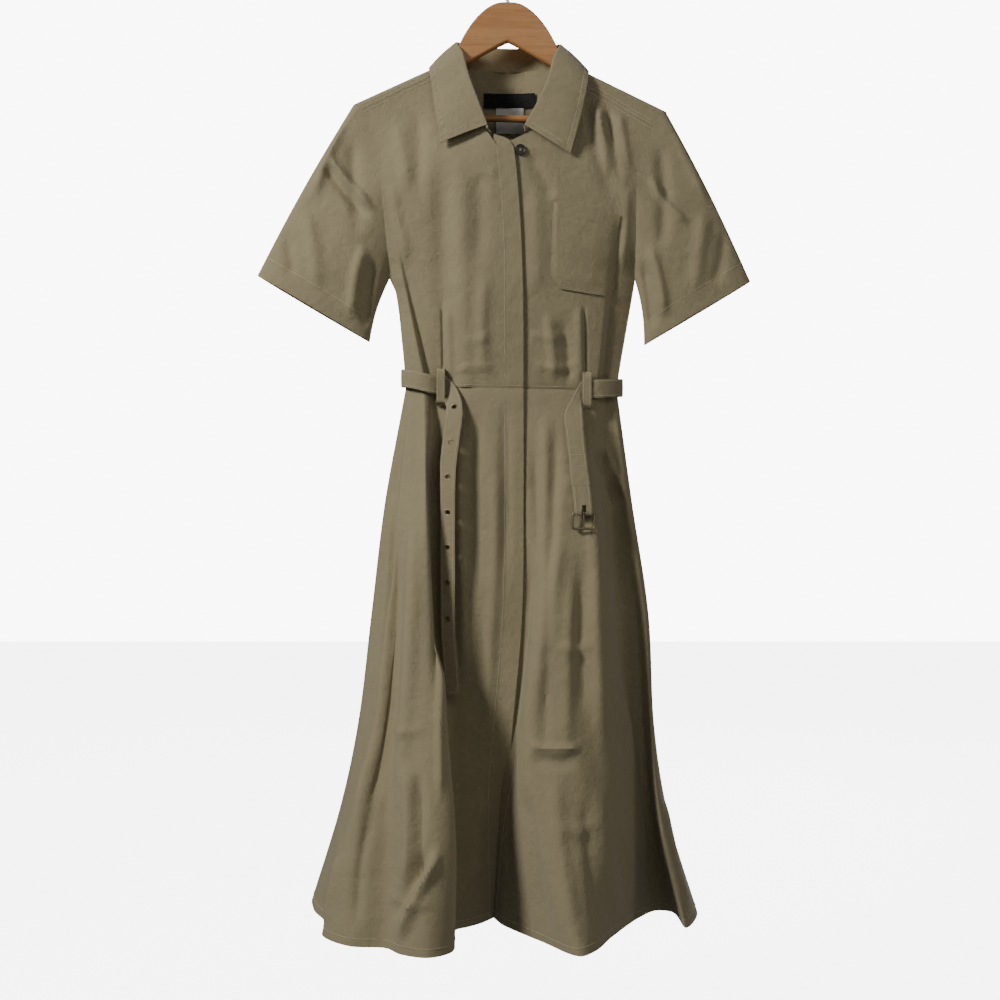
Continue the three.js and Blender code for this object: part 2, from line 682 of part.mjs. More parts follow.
const skirt = skirtFaces();
const SKIRT_PANELS = {
  skirt_front_right: panelOf(skirt, 0, RIGHT_SIDE),
  skirt_back: panelOf(skirt, RIGHT_SIDE, LEFT_SIDE),
  skirt_front_left: panelOf(skirt, LEFT_SIDE, LAST_LINE),
};
for (const [name, panel] of Object.entries(SKIRT_PANELS)) {
  piece(name, wallBetween(panel.outer, panel.inner), CLOTH_LOOK);
}

// Sleeves: flat tubes from the armhole to the hem. Each is laid out from its top fold to its
// underarm fold, along the front and then back along the back.

const SLEEVES = {
  sleeve_right: {
    armhole: ARMHOLES.right,
    hem: { top: [-333, -422], foot: [-184, -510] },
    bulge: 4,
  },
  sleeve_left: {
    armhole: ARMHOLES.left,
    hem: { top: [322, -430], foot: [181, -514] },
    bulge: 4,
  },
};
const SLEEVE_GAP = 1;
const SLEEVE_TOP_GAP = 2;
const SLEEVE_HEM_DEPTH = 24;
const SLEEVE_ROWS = 6;
const SLEEVE_CUTS = 2;

// A point of the armhole, moved off the body at right angles to the armhole's line.
function besideArmhole(armhole, place, outward) {
  const [x, z] = between(armhole, place);
  const [xAbove, zAbove] = between(armhole, place - 0.01);
  const [xBelow, zBelow] = between(armhole, place + 0.01);
  const gap = SLEEVE_GAP + SLEEVE_TOP_GAP * smooth(1 - place / 2);
  const away = new THREE.Vector2(zBelow - zAbove, xAbove - xBelow).setLength(-outward * gap);
  return [x + away.x, z + away.y];
}

function sleeveGrid(spec, rows = SLEEVE_ROWS, cuts = SLEEVE_CUTS) {
  const outward = Math.sign(spec.hem.top[0]);
  const last = spec.armhole.length - 1;
  const places = steps(spec.armhole.length, cuts);
  const ring = [
    ...places.map((place, k) => ({ place, side: k === 0 || place === last ? 0 : -1 })),
    ...[...places].reverse().slice(1, -1).map((place) => ({ place, side: 1 })),
  ];
  return evenly(rows).map((v) =>
    ring.map(({ place, side }) => {
      const eased = 0.5 - 0.5 * Math.cos((Math.PI * place) / last);
      const round = Math.sin((Math.PI * place) / last);
      const [xArm, zArm] = besideArmhole(spec.armhole, place, outward);
      const yArm = side * bodyDepth(side < 0, ...between(spec.armhole, place));
      const xHem = lerp(spec.hem.top[0], spec.hem.foot[0], eased);
      const zHem = lerp(spec.hem.top[1], spec.hem.foot[1], eased);
      const yHem = side * SLEEVE_HEM_DEPTH * round ** 0.8;
      const swell = spec.bulge * Math.sin(Math.PI * v);
      return new THREE.Vector3(
        lerp(xArm, xHem, v) + outward * swell,
        lerp(yArm, yHem, v) + side * swell * 0.8 * round,
        lerp(zArm, zHem, v),
      );
    }),
  );
}

for (const [name, spec] of Object.entries(SLEEVES)) {
  const side = name === "sleeve_right" ? -1 : 1;
  piece(name, wall(sleeveGrid(spec), CLOTH, side, true), CLOTH_LOOK);
}

// Collar: sections from the right front end round the back of the neck to the left front end.
// Each has its neck seam, the roll at the top and the outer edge, as x, y and z.

const COLLAR_SECTIONS = [
  { at: "right front end", seam: [-22, -37, -240], roll: [-26, -41, -233], edge: [-89, -38, -254] },
  { at: "right front", seam: [-43, -34, -212], roll: [-39, -38, -198], edge: [-93, -35, -224] },
  { at: "right neck side", seam: [-63, -27, -184], roll: [-51, -30, -164], edge: [-98, -28, -194] },
  { at: "right shoulder front", seam: [-83, -14, -149], roll: [-59, -15, -130], edge: [-103, -19, -160] },
  { at: "right shoulder", seam: [-84.8, 0, -137.5], roll: [-67, 2, -111], edge: [-105, -1, -145.5] },
  { at: "right back", seam: [-70, 18, -141.5], roll: [-56, 24, -107.5], edge: [-96, 25, -155] },
  { at: "right back neck", seam: [-36, 29, -142], roll: [-31, 37, -107], edge: [-48, 45, -163] },
  { at: "centre back", seam: [0, 32, -142], roll: [0, 41, -107], edge: [0, 49, -165] },
  { at: "left back neck", seam: [36, 29, -142], roll: [31, 37, -108], edge: [48, 45, -165] },
  { at: "left back", seam: [70, 18, -143.5], roll: [57, 24, -110], edge: [98, 25, -160] },
  { at: "left shoulder", seam: [84.5, 0, -140.3], roll: [68, 2, -114], edge: [107, -1, -149.5] },
  { at: "left shoulder front", seam: [81.5, -14, -155], roll: [60, -15, -134], edge: [105, -20, -167] },
  { at: "left neck side", seam: [63, -26, -190], roll: [51, -29, -170], edge: [97, -30, -208] },
  { at: "left front", seam: [43, -32, -213], roll: [36, -34, -203], edge: [88, -36, -243] },
  { at: "left front end", seam: [21, -33, -239], roll: [20, -36, -232], edge: [81, -38, -268] },
];
const COLLAR_THICK = 1.6;
const ROLL_RADIUS = 2.6;

const collarCurve = (column) =>
  new THREE.CatmullRomCurve3(
    COLLAR_SECTIONS.map((row) => new THREE.Vector3(...row[column])),
    false,
    "centripetal",
  );
const collarCurves = {
  seam: collarCurve("seam"),
  roll: collarCurve("roll"),
  edge: collarCurve("edge"),
};

// A section of the collar: up its inner side, round the roll and down to its outer edge.
function collarSection(t) {
  const seam = collarCurves.seam.getPoint(t);
  const roll = collarCurves.roll.getPoint(t);
  const edge = collarCurves.edge.getPoint(t);
  const up = roll.clone().sub(seam.clone().lerp(edge, 0.5)).normalize();
  const inward = seam.clone().sub(edge);
  inward.addScaledVector(up, -inward.dot(up)).normalize();
  const centre = roll.clone().addScaledVector(up, -ROLL_RADIUS);
  const side = (sign) => centre.clone().addScaledVector(inward, sign * ROLL_RADIUS);
  const inner = side(1);
  const outer = side(-1);
  const points = [seam, seam.clone().lerp(inner, 0.5)];
  for (const angle of [0, 45, 90, 135, 180]) {
    const a = THREE.MathUtils.degToRad(angle);
    points.push(
      centre
        .clone()
        .addScaledVector(inward, Math.cos(a) * ROLL_RADIUS)
        .addScaledVector(up, Math.sin(a) * ROLL_RADIUS),
    );
  }
  for (const f of [0.5, 1]) points.push(outer.clone().lerp(edge, f));
  return points;
}

const collarGrid = steps(COLLAR_SECTIONS.length, 2).map((place) =>
  collarSection(place / (COLLAR_SECTIONS.length - 1)),
);
piece("collar", wall(collarGrid, COLLAR_THICK, -1), CLOTH_LOOK);

// Chest pocket on the left front: columns with their top and bottom corners, as x and z

const POCKET_COLUMNS = [
  { at: "left edge", top: [58.5, -331], foot: [54.5, -427] },
  { at: "cut corner", top: [67, -332], foot: [67.5, -444] },
  { at: "middle", top: [102, -338.5], foot: [97, -448.5] },
  { at: "right edge", top: [147, -347], foot: [127, -452] },
];
const POCKET_OFF = 1.3;
const POCKET_THICK = 1;

const pocketGrid = evenly(8).map((v) =>
  steps(POCKET_COLUMNS.length, 3).map((place) => {
    const list = POCKET_COLUMNS.map((c) => [...c.top, ...c.foot]);
    const [xTop, zTop, xFoot, zFoot] = between(list, place);
    const x = lerp(xTop, xFoot, v);
    const z = lerp(zTop, zFoot, v);
    return new THREE.Vector3(x, frontY(x, z) - POCKET_OFF, z);
  }),
);
piece("chest_pocket", wall(pocketGrid, POCKET_THICK, 1), CLOTH_LOOK);

// Labels inside the back of the neck, made from the back's points moved in

function labelGrid({ left, right, top, foot, off }, cuts = 6) {
  return evenly(4).map((v) =>
    evenly(cuts).map((u) => {
      const x = lerp(left, right, u);
      const z = lerp(top, foot, v);
      return new THREE.Vector3(x, backY(x, z) - CLOTH - off, z);
    }),
  );
}

const NECK_LABEL = { left: -32, right: 36, top: -173, foot: -192, off: 3 };
const CARE_LABEL = { left: -16, right: 21, top: -187, foot: -226, off: 2 };
const LABEL_THICK = 0.7;
const neckLabel = labelGrid(NECK_LABEL);
const careLabel = labelGrid(CARE_LABEL);
piece("neck_label", wall(neckLabel, LABEL_THICK, -1), LABEL_LOOK);
piece("care_label", wall(careLabel, LABEL_THICK, -1), CARE_LOOK);

// Belt: round the waist through both loops, with both ends hanging. The band stands upright, and
// each row gives the middle of its outer face as x, y and z.

const BELT_ROUND = [
  [-80, -21.5, -570],
  [-92, -24, -569],
  [-104, -28, -567],
  [-114, -27.5, -564.5],
  [-127, -20.5, -561],
  [-138, -10, -559],
  [-142.5, 2, -558],
  [-137, 15, -558],
  [-120, 23, -559],
  [-90, 29, -560],
  [-50, 33, -561],
  [0, 35, -563],
  [50, 33, -565],
  [92, 29, -567],
  [126, 23, -569],
  [147, 13, -570.5],
  [153, 0, -571],
  [147, -13, -572],
  [134, -23, -573],
  [121, -28.5, -574],
  [108, -29, -574.5],
  [96, -29, -575],
];

// The free end turns down past the right loop. Upper becomes the outer edge, lower the inner.
const FREE_END = [
  { upper: [-62.5, -66, -969], lower: [-80, -59, -972] },
  { upper: [-65, -63, -930], lower: [-84, -56, -930] },
  { upper: [-68.5, -60, -890], lower: [-87, -53, -890] },
  { upper: [-69, -58, -820], lower: [-88, -50, -820] },
  { upper: [-69, -56, -740], lower: [-88, -48, -740] },
  { upper: [-68.5, -54, -694], lower: [-88.5, -46, -694] },
  { upper: [-67, -51, -670], lower: [-88.5, -44, -670] },
  { upper: [-63, -47, -638], lower: [-85, -40, -638] },
  { upper: [-59.5, -41, -607], lower: [-81.5, -36, -607] },
  { upper: [-62, -34, -586], lower: [-81, -30, -594] },
  { upper: [-70, -27, -569], lower: [-80.5, -24.5, -588] },
];

// The buckle's end turns down past the left loop and lies double below the stitching.
const BUCKLE_END = [
  { upper: [85, -33, -582], lower: [96.5, -33, -594] },
  { upper: [73, -41, -608], lower: [96.8, -40, -604] },
  { upper: [75, -49, -636], lower: [98.2, -49, -636] },
  { upper: [78.5, -55.5, -667], lower: [101.5, -55.5, -667] },
  { upper: [80.6, -59.7, -688], lower: [103.6, -59.7, -688] },
  { upper: [83.3, -64, -713], lower: [106.3, -64, -713] },
];
const BAR = { x: 97, y: -64, z: -737 };
const BAR_RADIUS = 1.5;
const BAR_CLEARANCE = 0.6;
const FOLD_RADIUS = BAR_RADIUS + BAR_CLEARANCE + BELT_THICK;
const FOLD_CUT = 11;
const STRAP_LEFT = BAR.x - 11.7;
const STRAP_RIGHT = BAR.x + 11.3;
const BACK_LAYER = [
  { drop: 0, behind: 2 * FOLD_RADIUS, left: 0 },
  { drop: -24, behind: 5.6, left: -1.7 },
  { drop: -49, behind: 2 * BELT_THICK + SEAM + 0.3, left: -4.7 },
  { drop: -70, behind: 2 * BELT_THICK + SEAM + 0.1, left: -6.8 },
];

const vector = (values) => new THREE.Vector3(...values);

function bandEdge(list, sign) {
  const curve = new THREE.CatmullRomCurve3(list.map(vector), false, "centripetal");
  return steps(list.length, 2).map((place) =>
    curve.getPoint(place / (list.length - 1)).add(new THREE.Vector3(0, 0, (sign * BELT_WIDTH) / 2)),
  );
}

function hangingEdge(list, edge, cuts) {
  const curve = new THREE.CatmullRomCurve3(list.map((row) => vector(row[edge])), false, "centripetal");
  return steps(list.length, cuts).map((place) => curve.getPoint(place / (list.length - 1)));
}

// The front of the hanging strap at a height, by its y.
function strapFrontY(z) {
  const zs = [...BUCKLE_END.map((row) => row.upper[2]), BAR.z];
  const ys = [...BUCKLE_END.map((row) => row.upper[1]), BAR.y - FOLD_RADIUS];
  return through(zs, ys, z);
}

// An edge of the turned-back end, from its cut on the front layer round the bar and up behind.
function foldEdge(edge) {
  const x = edge === "upper" ? STRAP_LEFT : STRAP_RIGHT;
  const cut = BAR.z + FOLD_CUT - SEAM;
  const points = [
    new THREE.Vector3(x, strapFrontY(cut), cut),
    new THREE.Vector3(x, BAR.y - FOLD_RADIUS, BAR.z),
  ];
  for (const angle of [36, 72, 108, 144]) {
    const a = THREE.MathUtils.degToRad(angle);
    const y = BAR.y - Math.cos(a) * FOLD_RADIUS;
    points.push(new THREE.Vector3(x, y, BAR.z - Math.sin(a) * FOLD_RADIUS));
  }
  for (const row of BACK_LAYER) {
    const z = BAR.z - row.drop;
    points.push(new THREE.Vector3(x + row.left, strapFrontY(z) + row.behind, z));
  }
  return points;
}

function beltEdge(edge) {
  const sign = edge === "upper" ? 1 : -1;
  const x = edge === "upper" ? STRAP_LEFT : STRAP_RIGHT;
  const cut = BAR.z + FOLD_CUT;
  return [
    ...hangingEdge(FREE_END, edge, 2),
    ...bandEdge(BELT_ROUND, sign),
    ...hangingEdge(BUCKLE_END, edge, 1),
    new THREE.Vector3(x, strapFrontY(cut), cut),
  ];
}

const stripGrid = (edgeOf) => {
  const lower = edgeOf("lower");
  return edgeOf("upper").map((p, k) => [p, p.clone().lerp(lower[k], 0.5), lower[k]]);
};
const beltGrid = stripGrid(beltEdge);
const foldGrid = stripGrid(foldEdge);

// Where the eyelets are along the free end, and the strap's frame there

const EYELET_Z = [-599, -645, -690, -736, -781, -827, -874];
const EYELET = { outer: 4.6, inner: 2.5, thick: 2.6, sides: 14, holeLength: 16 };
const EYELET_HOLE = EYELET.outer + SEAM;

function strapFrame(z) {
  const rows = [...FREE_END].reverse();
  const at = (edge, axis) =>
    through(
      rows.map((row) => (row.upper[2] + row.lower[2]) / 2),
      rows.map((row) => row[edge][axis]),
      z,
    );
  const upper = new THREE.Vector3(at("upper", 0), at("upper", 1), z);
  const lower = new THREE.Vector3(at("lower", 0), at("lower", 1), z);
  const across = upper.clone().sub(lower).normalize();
  const out = across.clone().cross(new THREE.Vector3(0, 0, -1)).normalize();
  if (out.y > 0) out.negate();
  return { middle: upper.clone().lerp(lower, 0.5).addScaledVector(out, -BELT_THICK / 2), out };
}

function roundPlace(geometry, frame) {
  const turn = new THREE.Quaternion().setFromUnitVectors(new THREE.Vector3(0, 1, 0), frame.out);
  geometry.applyQuaternion(turn);
  geometry.translate(frame.middle.x, frame.middle.y, frame.middle.z);
  return geometry;
}

let belt = solidOf(wall(beltGrid, BELT_THICK, -1));
for (const z of EYELET_Z) {
  const hole = new THREE.CylinderGeometry(EYELET_HOLE, EYELET_HOLE, EYELET.holeLength, EYELET.sides);
  belt = belt.subtract(solidOf(roundPlace(hole, strapFrame(z))));
}

// The turned-back end is a piece of its own, and its fold is slotted for the prong.
const SLOT = { half: 2.5, above: 10, below: 6, deep: 16 };
let fold = solidOf(wall(foldGrid, BELT_THICK, -1));
const slot = new THREE.BoxGeometry(2 * SLOT.half, SLOT.deep, SLOT.above + SLOT.below);
slot.translate(BAR.x, BAR.y, BAR.z + (SLOT.above - SLOT.below) / 2);
fold = fold.subtract(solidOf(slot));
piece("belt", geometryOf(belt), CLOTH_LOOK);
piece("belt_fold", geometryOf(fold), CLOTH_LOOK);

EYELET_Z.forEach((z, index) => {
  const half = EYELET.thick / 2;
  const ring = new THREE.LatheGeometry(
    [
      new THREE.Vector2(EYELET.inner, -half),
      new THREE.Vector2(EYELET.outer, -half),
      new THREE.Vector2(EYELET.outer, half),
      new THREE.Vector2(EYELET.inner, half),
      new THREE.Vector2(EYELET.inner, -half),
    ],
    EYELET.sides,
  );
  piece(`eyelet_${index + 1}`, roundPlace(ring, strapFrame(z)), BRONZE_LOOK);
});

// Keeper round both layers of the buckle's end

const KEEPER = { top: -680, foot: -701, thick: 1.1, off: 0.5, deep: 6.2 };

const keeperGrid = evenly(2).map((v) => {
  const z = lerp(KEEPER.top, KEEPER.foot, v);
  const slide = through([-737, -713, -688, -667], [0, -1.7, -4.7, -6.8], z);
  const left = STRAP_LEFT + slide - KEEPER.off;
  const right = STRAP_RIGHT + slide + KEEPER.off;
  const front = strapFrontY(z) - KEEPER.off;
  const rear = front + KEEPER.deep + 2 * KEEPER.off;
  const middle = (left + right) / 2;
  return [
    [left, front],
    [middle, front],
    [right, front],
    [right, rear],
    [middle, rear],
    [left, rear],
  ].map(([x, y]) => new THREE.Vector3(x, y, z));
});
piece("belt_keeper", wall(keeperGrid, KEEPER.thick, 1, true), CLOTH_LOOK);

// Belt loops: upright strips from the bodice over the belt to the skirt

const LOOP_THICK = 1.2;
const LOOP_OFF = 0.5;
const LOOPS = {
  belt_loop_right: { left: -94, right: -83, beltY: -28, top: -550, foot: -592 },
  belt_loop_left: { left: 97, right: 109, beltY: -29.5, top: -555, foot: -596 },
};

// The skirt's front at a place, by its y.
function skirtFrontY(x, z) {
  const ring = skirtRing(z);
  let nearest = 0;
  for (const t of evenly(400)) {
    const at = ring.getPoint(t);
    if (Math.abs(at.x - x) < 1.5) nearest = Math.min(nearest, at.y);
  }
  return nearest;
}

function loopGrid(loop) {
  const front = loop.beltY - LOOP_OFF - LOOP_THICK;
  return evenly(1).map((u) => lerp(loop.left, loop.right, u)).map((x) => {
    const yTop = rightFrontY(x, loop.top) - LOOP_OFF - LOOP_THICK;
    const yFoot = skirtFrontY(x, loop.foot) - LOOP_OFF - LOOP_THICK;
    return [
      [yTop, loop.top + 3],
      [Math.min(yTop, front + 2), loop.top],
      [front, loop.top - 4],
      [front, (loop.top + loop.foot) / 2],
      [front, loop.foot + 5],
      [Math.min(front + 1, yFoot), loop.foot],
      [yFoot, loop.foot - 4],
    ].map(([y, z]) => new THREE.Vector3(x, y, z));
  });
}

for (const [name, loop] of Object.entries(LOOPS)) {
  piece(name, wall(loopGrid(loop), LOOP_THICK, 1), CLOTH_LOOK);
}

// Buckle: a rounded wire frame on the belt's fold, and a prong with its eye round the same bar

const FRAME = { wide: 28, tall: 20, corner: 2.6 };

function roundedRectangle(wide, tall, corner) {
  const points = [];
  const centres = [
    [wide / 2 - corner, -corner, 90],
    [wide / 2 - corner, -tall + corner, 0],
    [-wide / 2 + corner, -tall + corner, -90],
    [-wide / 2 + corner, -corner, -180],
  ];
  for (const [x, z, from] of centres) {
    for (const turn of [0, -30, -60, -90]) {
      const a = THREE.MathUtils.degToRad(from + turn);
      points.push(new THREE.Vector3(x + corner * Math.cos(a), 0, z + corner * Math.sin(a)));
    }
  }
  return points;
}

const framePath = new THREE.CatmullRomCurve3(
  roundedRectangle(FRAME.wide, FRAME.tall, FRAME.corner),
  true,
  "catmullrom",
  0.2,
);
const buckleFrame = new THREE.TubeGeometry(framePath, 36, BAR_RADIUS, 8, true);
piece("buckle_frame", buckleFrame, BRONZE_LOOK).position.set(BAR.x, BAR.y, BAR.z);

const PRONG = { wide: 3.6, eye: 3.2, gap: 0.5, root: 2.8, rootBelow: 0.2, pin: 1, reach: 21.5, lean: 2.9 };

function prongSolid() {
  const eyeShape = new THREE.Shape();
  eyeShape.absarc(0, 0, PRONG.eye, 0, 2 * Math.PI, false);
  const hole = new THREE.Path();
  hole.absarc(0, 0, BAR_RADIUS + PRONG.gap, 0, 2 * Math.PI, true);
  eyeShape.holes.push(hole);
  const eye = new THREE.ExtrudeGeometry(eyeShape, {
    depth: PRONG.wide,
    bevelEnabled: false,
    curveSegments: 10,
  });
  eye.translate(0, 0, -PRONG.wide / 2);
  eye.rotateY(Math.PI / 2);
  const root = new THREE.Vector3(0, -PRONG.root, -PRONG.rootBelow);
  const tip = new THREE.Vector3(0, -PRONG.lean, -PRONG.reach);
  const pin = new THREE.CylinderGeometry(PRONG.pin, PRONG.pin * 0.8, root.distanceTo(tip), 10);
  const along = root.clone().sub(tip).normalize();
  pin.applyQuaternion(new THREE.Quaternion().setFromUnitVectors(new THREE.Vector3(0, 1, 0), along));
  const middle = root.clone().lerp(tip, 0.5);
  pin.translate(middle.x, middle.y, middle.z);
  return solidOf(eye).add(solidOf(pin));
}

piece("buckle_prong", geometryOf(prongSolid()), BRONZE_LOOK).position.set(BAR.x, BAR.y, BAR.z);

// Neck button on the left front's placket

const BUTTON = { x: 16.2, z: -263, radius: 7.2, thick: 2.6, rim: 1.2 };
const button = new THREE.LatheGeometry(
  [
    new THREE.Vector2(0, 0),
    new THREE.Vector2(BUTTON.radius - 1, 0),
    new THREE.Vector2(BUTTON.radius, 0.8),
    new THREE.Vector2(BUTTON.radius, BUTTON.thick - 0.5),
    new THREE.Vector2(BUTTON.radius - 0.5, BUTTON.thick),
    new THREE.Vector2(BUTTON.radius - BUTTON.rim - 0.4, BUTTON.thick),
    new THREE.Vector2(BUTTON.radius - BUTTON.rim - 1, BUTTON.thick - 0.6),
    new THREE.Vector2(0, BUTTON.thick - 0.6),
  ],
  18,
);
const buttonSeat = Math.min(
  frontY(BUTTON.x - BUTTON.radius, BUTTON.z - BUTTON.radius),
  frontY(BUTTON.x + BUTTON.radius, BUTTON.z - BUTTON.radius),
);
button.rotateX(Math.PI);
button.translate(BUTTON.x, buttonSeat - SEAM, BUTTON.z);
piece("neck_button", button, BUTTON_LOOK);

// Hanger: a flat wooden body with a round trouser bar between the ends of its arms

const HANGER_THICK = 12;
const HANGER_EDGE = 4;
const ARM_BELOW_RIDGE = 2.8;
const ARM_END = 192;
const UNDERSIDE = { apex: -112, slope: 0.54 };
const TROUSER_BAR = { half: 179, z: -213, radius: 4.7, socket: 4 };
const DOME = [
  [0, -62],
  [15, -64],
  [29, -71.5],
  [44, -86.5],
  [54, -100.5],
  [60, -112],
  [67, -126],
  [74, -139],
  [82, -147.5],
  [92, -150],
];

function armTop(x) {
  return RIDGE_AT_NECK - SHOULDER_SLOPE * (x - NECK_HALF) - ARM_BELOW_RIDGE;
}

function hangerHalf() {
  return [
    ...DOME,
    ...[115, 140, 165, 184].map((x) => [x, armTop(x)]),
    [ARM_END - 1, armTop(ARM_END) - 2],
    [ARM_END + 1.5, armTop(ARM_END) - 8],
    [ARM_END, -219],
    [ARM_END - 6, -224.5],
    [TROUSER_BAR.half + 1, -221],
    [TROUSER_BAR.half + 0.5, -206],
    [TROUSER_BAR.half - 8, UNDERSIDE.apex - UNDERSIDE.slope * (TROUSER_BAR.half - 8)],
    [60, UNDERSIDE.apex - UNDERSIDE.slope * 60],
  ];
}

const half = hangerHalf();
const outline = [
  ...half,
  [0, UNDERSIDE.apex],
  ...[...half].reverse().slice(0, -1).map(([x, z]) => [-x, z]),
].map(([x, z]) => new THREE.Vector2(x, z - TILT * x));
const hangerBody = new THREE.ExtrudeGeometry(new THREE.Shape(outline), {
  depth: HANGER_THICK - 2 * HANGER_EDGE,
  bevelEnabled: true,
  bevelThickness: HANGER_EDGE,
  bevelSize: HANGER_EDGE,
  bevelOffset: -HANGER_EDGE,
  bevelSegments: 2,
  steps: 1,
});
hangerBody.translate(0, 0, -HANGER_THICK / 2 + HANGER_EDGE);
hangerBody.rotateX(Math.PI / 2);

const barLength = 2 * (TROUSER_BAR.half + TROUSER_BAR.socket);
const trouserBar = new THREE.CylinderGeometry(TROUSER_BAR.radius, TROUSER_BAR.radius, barLength, 20);
trouserBar.rotateZ(Math.PI / 2);
trouserBar.rotateY(Math.atan(TILT));
trouserBar.translate(0, 0, TROUSER_BAR.z);
piece("hanger_body", geometryOf(solidOf(hangerBody).add(solidOf(trouserBar))), WOOD_LOOK);

const HOOK_WIRE = 2;
const HOOK_ROUTE = [
  [0, -61.6],
  [-0.5, -56],
  [-6, -50.5],
  [-16, -45],
  [-24, -34.5],
  [-26, -24],
  [-22.5, -11],
  [-13, -1.5],
  [0, 2],
  [13, -1.5],
  [22.5, -11],
  [26, -24],
  [24, -34],
];
const hookPath = new THREE.CatmullRomCurve3(
  HOOK_ROUTE.map(([x, z]) => new THREE.Vector3(x, 0, z)),
  false,
  "centripetal",
);
const hookSection = new THREE.Shape();
hookSection.absarc(0, 0, HOOK_WIRE, 0, 2 * Math.PI, false);
const hook = new THREE.ExtrudeGeometry(hookSection, {
  steps: 24,
  extrudePath: hookPath,
  curveSegments: 5,
});
piece("hanger_hook", hook, STEEL_LOOK);

export default garment;
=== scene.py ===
"""A khaki shirt dress with short sleeves and a belt, hanging on a wooden hanger.

Tables and lengths are in millimetres unless a name says otherwise. Meshes are made in metres. The
front faces -Y, +Z is up, and right and left are the wearer's, so the right side is at -X.
"""

import math

import bpy
import numpy as np
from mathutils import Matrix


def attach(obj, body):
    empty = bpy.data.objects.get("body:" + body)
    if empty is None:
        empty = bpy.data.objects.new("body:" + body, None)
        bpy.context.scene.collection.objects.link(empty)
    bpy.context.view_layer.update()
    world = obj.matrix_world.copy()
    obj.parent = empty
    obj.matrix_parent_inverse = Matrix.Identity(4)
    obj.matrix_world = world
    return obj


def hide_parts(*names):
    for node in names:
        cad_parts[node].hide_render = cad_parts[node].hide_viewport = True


bl_info = {
    "name": "Shirt Dress",
    "version": (1, 0, 0),
    "blender": (4, 5, 0),
    "location": "3D View > Sidebar > Dress",
    "description": "Builds a belted shirt dress on a hanger, with its cloth, stitching and metalwork",
    "category": "Add Mesh",
}

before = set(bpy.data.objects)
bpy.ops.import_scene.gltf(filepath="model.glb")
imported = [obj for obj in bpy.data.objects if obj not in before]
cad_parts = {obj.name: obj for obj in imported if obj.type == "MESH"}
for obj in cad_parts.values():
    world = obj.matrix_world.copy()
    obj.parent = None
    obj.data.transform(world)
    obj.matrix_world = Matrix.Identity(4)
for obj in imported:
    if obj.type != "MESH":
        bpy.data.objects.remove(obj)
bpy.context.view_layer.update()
MM = 0.001

# Driving sizes of the garment
CLOTH = 1.0
SEAM = 0.3
SIDE_SEAM_Y = 1.65
NECK_HALF = 88
RIDGE_AT_NECK = -142.6
SHOULDER_SLOPE = 0.4725
SHOULDER_ROUND = 9
TILT = 0.0175
CHEST_DEPTH = 35
WAIST_DEPTH = 27
BACK_CHEST_DEPTH = 33
BACK_WAIST_DEPTH = 27
DEPTH_REACH = 150
LOW_FROM = -420
WAIST_Z = -573
HEM_Z = -1272
LAP = 4.2
LAP_FADE = 55
NECK_BULGE = 20
NECK_BULGE_WIDTH = 55
BELT_WIDTH = 24
BELT_THICK = 1.8
QUARTER = SHOULDER_ROUND * math.pi / 2


# Numbers and curves


def smooth(t):
    """An ease from 0 to 1 with level ends: 3t squared less 2t cubed."""
    c = np.clip(t, 0, 1)
    return c * c * (3 - 2 * c)


def lerp(a, b, t):
    """A straight mix from a to b."""
    return a + (b - a) * t


def through(knots, values, at):
    """A smooth curve through values at knots. Each piece is a cubic whose slope at a knot is that of the
    chord between the knot's neighbours, and it is level past both ends."""
    k = np.asarray(knots, float)
    v = np.asarray(values, float)
    x = np.asarray(at, float)
    if k[0] > k[-1]:
        k, x = -k, -x
    x = np.clip(x, k[0], k[-1])
    last = len(k) - 1
    below = np.maximum(np.arange(last + 1) - 1, 0)
    above = np.minimum(np.arange(last + 1) + 1, last)
    run = (k[above] - k[below]).reshape((-1,) + (1,) * (v.ndim - 1))
    slope = (v[above] - v[below]) / run
    i = np.clip(np.searchsorted(k, x, side="left") - 1, 0, last - 1)
    h = k[i + 1] - k[i]
    t = (x - k[i]) / h
    if v.ndim > 1:
        h, t = h[..., None], t[..., None]
    t2, t3 = t * t, t * t * t
    return (
        (2 * t3 - 3 * t2 + 1) * v[i]
        + (t3 - 2 * t2 + t) * h * slope[i]
        + (3 * t2 - 2 * t3) * v[i + 1]
        + (t3 - t2) * h * slope[i + 1]
    )


def curve(points, cuts):
    """A centripetal Catmull-Rom curve through points, given as an array that ends in points by values. Each
    gap is cut into the same number of steps."""
    p = np.asarray(points, float)
    first = 2 * p[..., :1, :] - p[..., 1:2, :]
    final = 2 * p[..., -1:, :] - p[..., -2:-1, :]
    p = np.concatenate([first, p, final], axis=-2)
    d = np.sqrt(np.linalg.norm(np.diff(p, axis=-2), axis=-1, keepdims=True))
    d = np.maximum(d, 1e-4)
    p0, p1, p2, p3 = (p[..., k : p.shape[-2] - 3 + k, :] for k in range(4))
    d0, d1, d2 = (d[..., k : d.shape[-2] - 2 + k, :] for k in range(3))
    m1 = ((p1 - p0) / d0 - (p2 - p0) / (d0 + d1) + (p2 - p1) / d1) * d1
    m2 = ((p2 - p1) / d1 - (p3 - p1) / (d1 + d2) + (p3 - p2) / d2) * d1
    u = (np.arange(cuts) / cuts)[:, None]
    a, b, m, n = (q[..., None, :] for q in (p1, p2, m1, m2))
    made = a + u * m + u**2 * (-3 * a + 3 * b - 2 * m - n) + u**3 * (2 * a - 2 * b + m + n)
    made = made.reshape(made.shape[:-3] + (-1, made.shape[-1]))
    return np.concatenate([made, p[..., -2:-1, :]], axis=-2)


